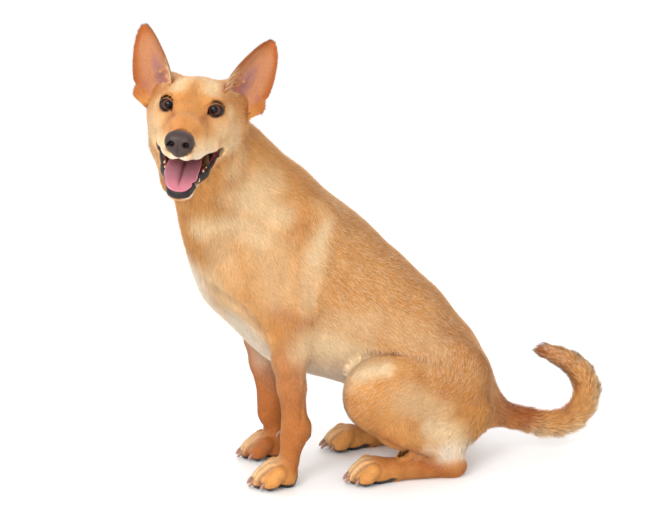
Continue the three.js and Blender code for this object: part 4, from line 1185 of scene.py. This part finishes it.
def region_of(p, on_ear):
    """Which of the regions each point is in, by number."""
    is_head = (in_head(p) - (-90, 0, -32)) @ np.array([0.912, 0, 0.409]) > 0
    is_neck = (p - (-170, 0, 440)) @ np.array([-0.426, 0, 0.905]) > 0
    is_tail = p[:, 0] > 258
    is_leg = (p[:, 0] < -60) & (p[:, 2] < 262) & (np.abs(p[:, 1]) > 46)
    is_hind = (p[:, 0] > -50) & (np.abs(p[:, 1]) > 40) & (p[:, 2] < 215 - 0.6 * np.abs(p[:, 0] - 60))
    return np.select([on_ear, is_head, is_neck, is_tail, is_leg, is_hind], [0, 1, 2, 3, 4, 5], 6)


edge1 = skin_points[corner[:, 1]] - skin_points[corner[:, 0]]
edge2 = skin_points[corner[:, 2]] - skin_points[corner[:, 0]]
area = np.linalg.norm(np.cross(edge1, edge2), axis=1) / 2
face_depth = skin_depth[corner].mean(1)
wanted = COVER[region_of(skin_points, on_ear)][corner[:, 0]] * area
wanted /= 0.5 * tuft_length(face_depth) * tuft_width(face_depth)
wanted *= thin[corner].mean(1) * ~bare[corner].any(1)
count = np.floor(wanted + hairs.random(len(wanted))).astype(int)
root_face = np.repeat(np.arange(len(count)), count)
mix = hairs.dirichlet((1, 1, 1), len(root_face))


def at_roots(values):
    """What the skin's corners have, mixed for each root from those of its face."""
    if values.ndim == 2:
        return (values[corner[root_face]] * mix[:, :, None]).sum(1)
    return (values[corner[root_face]] * mix).sum(1)


root = at_roots(skin_points)
normal = unit_rows(at_roots(skin_normals))
depth = at_roots(skin_depth)
lie = at_roots(skin_lie)
root_uv = (skin_uv[corner_loop[root_face]] * mix[:, :, None]).sum(1)
root_ear = at_roots(on_ear.astype(float)) > 0.5
root_marks = {k: at_roots(v) for k, v in skin_marks.items()}
# the tufts take the black with the fainter painted crease shade
root_marks["black"] = root_marks["soft"]
ear_fringe = root_ear * (at_roots(ear_off) > 0) * smooth_step(at_roots(ear_u), 0.45, 0.8)
ear_fringe = ear_fringe * smooth_step(-at_roots(ear_v), -0.6, -0.3)
root_marks["pale"] = np.maximum(root_marks["pale"], 0.7 * ear_fringe)
root_marks["pink"] = root_marks["pink"] * (1 - ear_fringe)
# dark whisker roots speckle the pale upper lip
root_head = in_head(root)
beside, ahead, above = np.abs(root_head[:, 1]) - 16, root_head[:, 0] - 72, root_head[:, 2] + 52
whiskers = np.exp(-((beside / 12) ** 2 + (ahead / 14) ** 2 + (above / 9) ** 2))
root_marks["black"] = np.maximum(root_marks["black"], 0.75 * (hairs.random(len(root)) < 0.35 * whiskers))

lie = unit_rows(lie - normal * (lie * normal).sum(1)[:, None], 1e-6)
across = np.cross(lie, normal)
turn = hairs.normal(0, 0.13, len(root)) + 0.16 * noise_at(root, 60, 21) + 0.10 * noise_at(root, 22, 22)
lie = lie * np.cos(turn)[:, None] + across * np.sin(turn)[:, None]
across = np.cross(lie, normal)
length = tuft_length(depth) * hairs.uniform(0.75, 1.2, len(root))
tail_end = smooth_step(-np.linalg.norm(root - TAIL_LINE[-1], axis=1), -60, -10)
length *= 1 + 0.8 * tail_end + 1.6 * ear_fringe
# how far a root lies on the outer side of the tail's curl, where the hair stands out
out_way = unit_rows(root - TAIL_CURL)
flared = smooth_step((normal * out_way).sum(1), 0.0, 0.7) * smooth_step(root[:, 0], 270, 320) * (1 - tail_end)
width = tuft_width(depth) * hairs.uniform(0.75, 1.25, len(root))
reach = depth * hairs.uniform(0.65, 1.08, len(root))
reach *= 1 + flared * hairs.uniform(-0.1, 0.15, len(root))
reach = np.where(root_ear, depth * hairs.uniform(0.3, 0.9, len(root)), reach)


def levelled(point, height):
    """The point, moved along its root's normal to that height above the skin's own level."""
    off = field(FLESH_BARS, point, 30) + depth + sunk(point) - height
    off = np.clip(off, -0.45 * length, 0.45 * length) * ~root_ear
    return point - normal * off[:, None]


bend = root + lie * (0.48 * length)[:, None] + normal * (0.66 * reach)[:, None]
bend = levelled(bend, 0.66 * reach)
tip = root + lie * length[:, None] + normal * reach[:, None]
tip = levelled(tip, reach)
bend[:, 2] = np.maximum(bend[:, 2], 0.8)
tip[:, 2] = np.maximum(tip[:, 2], 0.6)

tone = np.clip(0.5 + 0.27 * hairs.normal(size=len(root)) + 0.16 * noise_at(root, 26, 31), 0, 1)
# light flecks all over, thickest on the back and flank, and few on the face and legs
speckled = 0.3 + 0.7 * smooth_step(root[:, 0], -130, -30) * smooth_step(root[:, 2], 90, 170)
speckled = np.where((root[:, 2] < 90) | root_ear, 0.2, speckled)
fleck = (hairs.random(len(root)) < 0.42) * hairs.uniform(0.4, 1, len(root)) * speckled
shine = normal + across * hairs.uniform(-0.3, 0.3, len(root))[:, None]
shine = unit_rows(shine + lie * hairs.uniform(-0.1, 0.25, len(root))[:, None])

coat_material, tree, surface = new_material("coat_hair", 0.55, Specular_IOR_Level=0.28, Sheen_Weight=0.12,
                                            Sheen_Roughness=0.45)
surface.inputs["Sheen Tint"].default_value = srgb(255, 232, 205)
ground = shader(tree, "ShaderNodeGroup", node_tree=coat_colour)
ground.inputs["Blotches"].default_value = 1.0
tuft_tone, tuft_along, tuft_fleck = layer(tree, "lock")[:3]
light = plus(tree, times(tree, tuft_tone, 0.44), 0.74)
# painted shade: each tuft darker towards its root, where the hair over it shades it
light = times(tree, light, plus(tree, times(tree, tuft_along, 0.2), 0.84))
toned = mix_colour(tree, 1.0, ground.outputs["Color"], light, "MULTIPLY")
pale_tip = times(tree, times(tree, tuft_along, tuft_fleck), 0.85)
toned = mix_colour(tree, pale_tip, toned, srgb(252, 226, 190))
finish_surface(tree, surface, toned, noise(tree, 900.0, 2.0), 0.35, 0.0004)

SIDES = ((0, 2), (2, 1), (1, 0))
SHORT_FACES = [(i, j, 3) for i, j in SIDES] + [(0, 1, 2)]
LONG_FACES = [f for i, j in SIDES for f in ((i, j, 3 + j), (i, 3 + j, 3 + i), (3 + i, 3 + j, 6))]
LONG_FACES.append((0, 1, 2))
PATCH = 0.0015              # half the size of a tuft's patch on the flat layout, about its root


def ring(centre, i, breadth):
    """Three points round a tuft: at its left, at its right, and on its crest."""
    wide = across[i] * (breadth * width[i])[:, None]
    return [centre[i] - wide, centre[i] + wide, centre[i] + normal[i] * (0.6 * breadth * width[i])[:, None]]


def coat_piece(name, i, long):
    """One joined mesh of the tufts numbered i."""
    rings = ring(root - normal * 0.5, i, 0.5)
    along, left_right = [0, 0, 0], [-1, 1, 0]
    if long:
        rings += ring(bend, i, 0.42)
        along += [0.5, 0.5, 0.5]
        left_right += [-1, 1, 0]
    rings.append(tip[i])
    along.append(1)
    left_right.append(0)
    per = len(rings)
    co = np.stack(rings, 1).reshape(-1, 3)
    pattern = np.array(LONG_FACES if long else SHORT_FACES)
    faces = (pattern[None] + np.arange(len(i))[:, None, None] * per).reshape(-1)
    mesh = bpy.data.meshes.new(name)
    mesh.vertices.add(len(co))
    mesh.vertices.foreach_set("co", ((co - MIDDLE) * MM).astype(np.float32).ravel())
    mesh.loops.add(len(faces))
    mesh.loops.foreach_set("vertex_index", faces.astype(np.int32))
    mesh.polygons.add(len(faces) // 3)
    mesh.polygons.foreach_set("loop_start", np.arange(0, len(faces), 3, dtype=np.int32))
    mesh.update(calc_edges=True)
    mesh.polygons.foreach_set("use_smooth", np.ones(len(faces) // 3, bool))
    uv = np.repeat(root_uv[i], per, 0)
    uv += PATCH * np.stack([np.tile(left_right, len(i)), 2 * np.tile(along, len(i)) - 1], 1)
    mesh.uv_layers.new(name="OFBake").data.foreach_set("uv", uv[faces].astype(np.float32).ravel())
    mark_layers(mesh, {k: np.repeat(v[i], per) for k, v in root_marks.items()})
    own_tone, own_fleck = np.repeat(tone[i], per), np.repeat(fleck[i], per)
    colour_layer(mesh, "lock", [own_tone, np.tile(along, len(i)), own_fleck, np.ones(len(co))])
    mesh.normals_split_custom_set_from_vertices(np.repeat(shine[i], per, 0).astype(np.float32))
    piece = new_object(name, mesh)
    mesh.materials.append(coat_material)
    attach(piece, "root")


region = region_of(root, root_ear)
for number, part in enumerate(REGIONS):
    for long, kind, triangles in ((False, "short", SHORT_TRIANGLES), (True, "long", LONG_TRIANGLES)):
        own = np.flatnonzero((region == number) & ((depth > LONG_COAT) == long))
        if len(own) < FEWEST:
            continue
        own = own[np.argsort(root[own, 0])]
        pieces = math.ceil(len(own) * triangles / PIECE_TRIANGLES)
        for k, share in enumerate(np.array_split(own, pieces)):
            coat_piece(f"coat_{part}_{kind}_{k + 1}", share, long)

# ----------------------------------------------------------------------------------------------------------
# The eyes. Glass balls set behind the lids, looking at the viewer: a black pupil in a warm brown iris with
# fine spokes, a dark ring round it, and the clear bulge of the cornea over it.

IRIS = 8.6
CORNEA = 0.8                # how far the clear front bulges
LOOK = unit(np.array([1.0, 0.06, 0.19]))
look_left = unit(np.cross((0, 0, 1), LOOK))
look_up = np.cross(LOOK, look_left)

eye_material, tree, surface = new_material("eye_glass", 0.3, Specular_IOR_Level=0.05, Coat_Weight=0.3,
                                           Coat_Roughness=0.015)
seen = shader(tree, "ShaderNodeAttribute", attribute_name="iris", attribute_type="GEOMETRY")
radius = shader(tree, "ShaderNodeSeparateColor", {0: seen.outputs["Color"]}).outputs[2]
spokes = noise(tree, 26.0, 3.0, seen.outputs["Color"])
rings = shader(tree, "ShaderNodeValToRGB", {"Fac": plus(tree, radius, times(tree, spokes, 0.03))})
# the pupil's faint blue is a painted sheen on its black
stops = [
    (0.0, (6, 7, 12)), (0.40, (7, 7, 10)), (0.44, (34, 17, 12)), (0.52, (88, 44, 26)), (0.60, (104, 55, 32)),
    (0.68, (56, 30, 20)), (0.735, (16, 10, 9)), (0.79, (34, 24, 22)), (1.0, (70, 54, 48)),
]
for k, (where, tint) in enumerate(stops):
    stop = rings.color_ramp.elements[k] if k < 2 else rings.color_ramp.elements.new(where)
    stop.position = where
    stop.color = srgb(*tint)
streaked = mix_colour(tree, 0.5, rings.outputs["Color"], spokes, "OVERLAY")
tree.links.new(streaked, surface.inputs["Base Color"])

for s, name in ((1, "left_eye"), (-1, "right_eye")):
    bpy.ops.mesh.primitive_uv_sphere_add(segments=64, ring_count=48, radius=EYE_RADIUS * MM)
    eye = bpy.context.object
    eye.name = name + "_ball"
    smooth_shading(eye)
    local = read(eye.data.vertices, "co", 3) / MM
    off = np.hypot(local[:, 0], local[:, 1])
    bulge = np.where(local[:, 2] > 0, np.clip(1 - (off / IRIS) ** 2, 0, 1), 0)
    from_middle = np.where(local[:, 2] > 0, off / EYE_RADIUS, 1)
    spoke = local[:, :2] / np.maximum(off, 0.01)[:, None]
    colour_layer(eye.data, "iris", [spoke[:, 0], spoke[:, 1], from_middle, np.ones(len(off))])
    local = local + local / EYE_RADIUS * (CORNEA * bulge)[:, None]
    set_points(eye, at_head(EYE_PLACE * (1, s, 1) + local @ np.stack([look_left, look_up, LOOK])))
    face_out(eye)
    eye.data.materials.append(eye_material)
    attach(eye, "root")
    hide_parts(name)

# ----------------------------------------------------------------------------------------------------------
# The nose: bare, moist, leathery skin with two nostrils that curl out to its sides, and a groove down its
# middle.

NOSE_VOXEL = 0.001
NOSE_BARS = [
    head_bar((87, 0, -31), (86, 0, -39), 14, 13, flat=1.18),
    head_bar((91, -9, -28.5), (91, 9, -28.5), 8.5, 8.5, blend=8),
    head_bar((92, -11, -32), (92, 11, -32), 9, 9, blend=7),
    head_bar((91, -9.5, -38), (91, 9.5, -38), 8, 8, blend=8),
    head_bar((94, 0, -42), (89, 0, -47), 7.5, 6.5, blend=9),
]


def crater(h):
    """How deep the nostrils and the slits that run out of them reach in."""
    across = np.abs(h[:, 1])
    round_hole = np.exp(-(((across - 10.4) / 4.4) ** 2 + ((h[:, 2] + 34) / 4.0) ** 2) ** 2)
    t = np.clip((across - 12) / 9, 0, 1)
    slit = np.exp(-((h[:, 2] + 36 + 4 * t) / 1.5) ** 2)
    slit = slit * smooth_step(across, 10, 13) * smooth_step(-across, -23, -18)
    return np.maximum(round_hole, 0.42 * slit)


nose = joined_copy(["nose"], "nose_leather")
remesh(nose, NOSE_VOXEL)
h = in_head(settle(points_of(nose), NOSE_BARS, 0, passes=6, most=4.0))
front = smooth_step(h[:, 0], 84, 92)
hole = crater(h) * front
middle = np.exp(-h[:, 1] ** 2) * smooth_step(-h[:, 2], 30, 38) * front
rolled = 0.9 * np.exp(-((hole - 0.22) / 0.16) ** 2) * front
h[:, 0] += rolled - 1.3 * middle - 8.5 * hole
set_points(nose, at_head(h))
smooth_shading(nose)
colour_layer(nose.data, "leather", [smooth_step(hole, 0.25, 0.7), middle, 0 * middle, np.ones(len(h))])

nose_material, tree, surface = new_material("nose_leather", 0.46, Specular_IOR_Level=0.3, Coat_Weight=0.12,
                                            Coat_Roughness=0.25)
nostril_shade, cleft = layer(tree, "leather")[:2]
cells = texture(tree, "Voronoi", 720.0, "Distance", feature="DISTANCE_TO_EDGE")
skin_tone = mix_colour(tree, noise(tree, 90.0, 4.0), srgb(40, 28, 25), srgb(70, 51, 46))
# painted shade: a little darker down the middle groove, and near black deep in the nostrils
skin_tone = mix_colour(tree, cleft, skin_tone, srgb(44, 33, 32))
skin_tone = mix_colour(tree, nostril_shade, skin_tone, srgb(20, 12, 12))
finish_surface(tree, surface, skin_tone, maths(tree, "MINIMUM", cells, 0.25), 0.45, 0.0012)
nose.data.materials.append(nose_material)
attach(nose, "root")
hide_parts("nose")

# ----------------------------------------------------------------------------------------------------------
# The tongue, lying out over the lower jaw: a soft wet slab, cupped, with a deep groove, thinner and redder
# at its rippled rim.

TONGUE_STEPS, TONGUE_SIDES = 60, 48
TONGUE_POINTS = ((-24, 0, -58), (10, 0, -54), (44, 0, -50.5), (70, 0, -51), (86, 0, -57))
tongue_line = smooth_line(np.array([jaw_point(*q) for q in TONGUE_POINTS]), TONGUE_STEPS)
tongue_way = unit_rows(np.gradient(tongue_line, axis=0))
turn = round_turn(TONGUE_SIDES)
c, v = np.cos(turn), np.sin(turn)
rings, columns = [], []
for i, (middle, way) in enumerate(zip(tongue_line, tongue_way)):
    t = i / TONGUE_STEPS
    half = (21 + 6.5 * t) * math.sqrt(1 - 0.97 * t ** 7)
    ripple = 1 + 0.035 * np.sin(23 * t + 2 * np.sign(c)) * smooth_step(t, 0.4, 0.8)
    ripple = ripple - 0.16 * math.exp(-((t - 0.86) / 0.025) ** 2) * (c > 0)
    cleft = np.exp(-(c / 0.1) ** 2) * np.clip(v, 0, 1) * (1 - smooth_step(t, 0.8, 0.97))
    lift = 3.9 * v * (1 - 0.35 * smooth_step(t, 0.7, 1)) - 2.4 * cleft + 3.6 * c ** 2 * (1 - 0.6 * t ** 6)
    lift = lift + 0.9 * np.exp(-((np.abs(c) - 0.28) / 0.16) ** 2) * np.clip(v, 0, 1) * (1 - t)
    up = np.cross(way, (0, 1, 0))
    rings.append(middle + np.outer(half * c * ripple, (0, 1, 0)) + np.outer(lift, up))
    columns.append(np.stack([np.full(TONGUE_SIDES, t), np.abs(c), cleft, np.ones(TONGUE_SIDES)], 1))
tongue = tube_mesh("tongue_flesh", rings, False)
colour_layer(tongue.data, "tongue", list(np.concatenate(columns).T))
smooth_shading(tongue)

tongue_material, tree, surface = new_material(
    "tongue_wet", 0.38, Specular_IOR_Level=0.5, Coat_Weight=0.5, Coat_Roughness=0.16,
    Subsurface_Weight=0.15, Subsurface_Scale=0.004)
along, aside, cleft = layer(tree, "tongue")[:3]
cloud = noise(tree, 110.0, 4.0)
tip_share = times(tree, maths(tree, "SUBTRACT", along, 0.72), 4.0, clamp=True)
edge_share = times(tree, maths(tree, "POWER", aside, 5.0), 0.6)
red_share = maths(tree, "MAXIMUM", tip_share, edge_share)
red_share = times(tree, red_share, plus(tree, cloud, 0.35), clamp=True)
flesh_tone = mix_colour(tree, red_share, srgb(146, 96, 110), srgb(184, 84, 98))
flesh_tone = mix_colour(tree, times(tree, cloud, 0.35), flesh_tone, srgb(180, 130, 146))
# painted shade: darker purple down the middle groove
flesh_tone = mix_colour(tree, times(tree, cleft, 0.85), flesh_tone, srgb(70, 36, 46))
finish_surface(tree, surface, flesh_tone, noise(tree, 1100.0, 2.0), 0.4, 0.0008)
tongue.data.materials.append(tongue_material)
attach(tongue, "root")
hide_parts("tongue")

# ----------------------------------------------------------------------------------------------------------
# The cheek teeth beside the tongue: short ivory crowns, each with a tall middle cusp and a low one before
# and behind it.

# each tooth: how far ahead, how far to the side, and how tall
TEETH = [(43, 25, 7), (32, 28, 8), (20, 31, 7.5)]
# each cusp: how far ahead of its tooth's middle, its share of the height, and its width
CUSPS = [(0, 1.0, 4.0), (4.2, 0.62, 2.6), (-4.2, 0.66, 2.8)]
GUM_LEVEL = -62.5


def cusp(ahead, left, tall, wide):
    rings = []
    for t in np.linspace(0, 1, 9):
        grow = wide * (1 - t ** 1.6) ** 0.7 + 0.25
        rings.append(np.array([
            jaw_point(ahead + grow * math.cos(q), left + 0.62 * grow * math.sin(q), GUM_LEVEL + tall * t)
            for q in round_turn(14)]))
    return tube_mesh("tooth", rings, False)


teeth = joined([
    cusp(ahead + shift, s * left, (tall + 0.5) * share, wide)
    for ahead, left, tall in TEETH for s in (-1, 1) for shift, share, wide in CUSPS
], "cheek_teeth")
bpy.ops.object.shade_smooth()
tooth_material, tree, surface = new_material("tooth_ivory", 0.28, Specular_IOR_Level=0.5, Coat_Weight=0.4,
                                             Coat_Roughness=0.1)
stain = noise(tree, 260.0, 3.0)
ivory = mix_colour(tree, stain, srgb(236, 220, 176), srgb(206, 168, 100))
finish_surface(tree, surface, ivory, stain, 0.2, 0.0004)
teeth.data.materials.append(tooth_material)
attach(teeth, "root")

# ----------------------------------------------------------------------------------------------------------
# The claws: curved horn, reddish brown at the root and paler towards the worn tip.

claw_material, tree, surface = new_material("claw_horn", 0.34, Specular_IOR_Level=0.5, Coat_Weight=0.2,
                                            Coat_Roughness=0.2)
grain = noise(tree, 700.0, 3.0)
horn = mix_colour(tree, layer(tree, "horn")[0], srgb(92, 52, 40), srgb(168, 124, 104))
horn = mix_colour(tree, 0.3, horn, grain, "OVERLAY")
finish_surface(tree, surface, horn, grain, 0.25, 0.0004)
CLAW_GROWTH = 0.0011        # metres; the smoothing that follows takes it away again

for name in sorted(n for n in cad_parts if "claw" in n):
    claw = new_object(name + "_horn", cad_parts[name].data.copy())
    claw.data.materials.clear()
    open_mesh(claw)
    bpy.ops.mesh.remove_doubles(threshold=SAME_PLACE)
    bpy.ops.mesh.normals_make_consistent(inside=False)
    close_mesh()
    open_mesh(claw)
    bpy.ops.transform.shrink_fatten(value=CLAW_GROWTH)
    close_mesh()
    smooth = claw.modifiers.new("smooth", "SUBSURF")
    smooth.levels = 2
    bpy.ops.object.modifier_apply(modifier="smooth")
    bpy.ops.object.shade_smooth()
    x = points_of(claw)[:, 0]
    colour_layer(claw.data, "horn", [smooth_step(x.max() - x, 2, x.max() - x.min()), 0 * x, 0 * x, 1 + 0 * x])
    claw.data.materials.append(claw_material)
    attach(claw, "root")
    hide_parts(name)

# ----------------------------------------------------------------------------------------------------------
# The camera, a plain pale floor and soft light.

CAMERA_AZIMUTH, CAMERA_HEIGHT, CAMERA_AWAY = math.radians(-12), math.radians(12), 2450
CAMERA_TARGET = np.array([-40.0, 0.0, 347.3])

back = np.array([math.sin(CAMERA_AZIMUTH) * math.cos(CAMERA_HEIGHT),
                 -math.cos(CAMERA_AZIMUTH) * math.cos(CAMERA_HEIGHT), math.sin(CAMERA_HEIGHT)])
bpy.ops.object.camera_add(location=(CAMERA_TARGET + back * CAMERA_AWAY - MIDDLE) * MM)
camera = bpy.context.object
camera.rotation_euler = Vector(back).to_track_quat("Z", "Y").to_euler()
camera.data.lens = 85
camera.data.sensor_width = 36
bpy.context.scene.camera = camera

bpy.ops.mesh.primitive_plane_add(size=60, location=(0, 0, 0))
floor = bpy.context.object
floor.name = "floor"
floor.data.materials.append(new_material("floor_paper", 0.6, Base_Color=(0.9, 0.9, 0.9, 1))[0])


def soft_box(name, place, aim, size, power):
    light = bpy.data.lights.new(name, "AREA")
    light.shape = "SQUARE"
    light.size = size
    light.energy = power
    lamp = new_object(name, light)
    lamp.location = place
    lamp.rotation_euler = (Vector(place) - Vector(aim)).to_track_quat("Z", "Y").to_euler()


soft_box("key_light", (-2.3, -3.1, 2.9), (-0.1, 0, 0.35), 2.0, 118)
soft_box("catch_light", (-0.62, -2.3, 1.15), (-0.3, -0.1, 0.5), 0.09, 8)
soft_box("back_light", (1.2, 2.4, 1.8), (0, 0, 0.4), 2.0, 14)
world = bpy.data.worlds.new("studio")
bpy.context.scene.world = world
world.use_nodes = True
world.node_tree.nodes["Background"].inputs["Color"].default_value = (1, 1, 1, 1)
world.node_tree.nodes["Background"].inputs["Strength"].default_value = 1.12
bpy.context.scene.view_settings.view_transform = "Standard"
bpy.context.scene.cycles.use_denoising = True
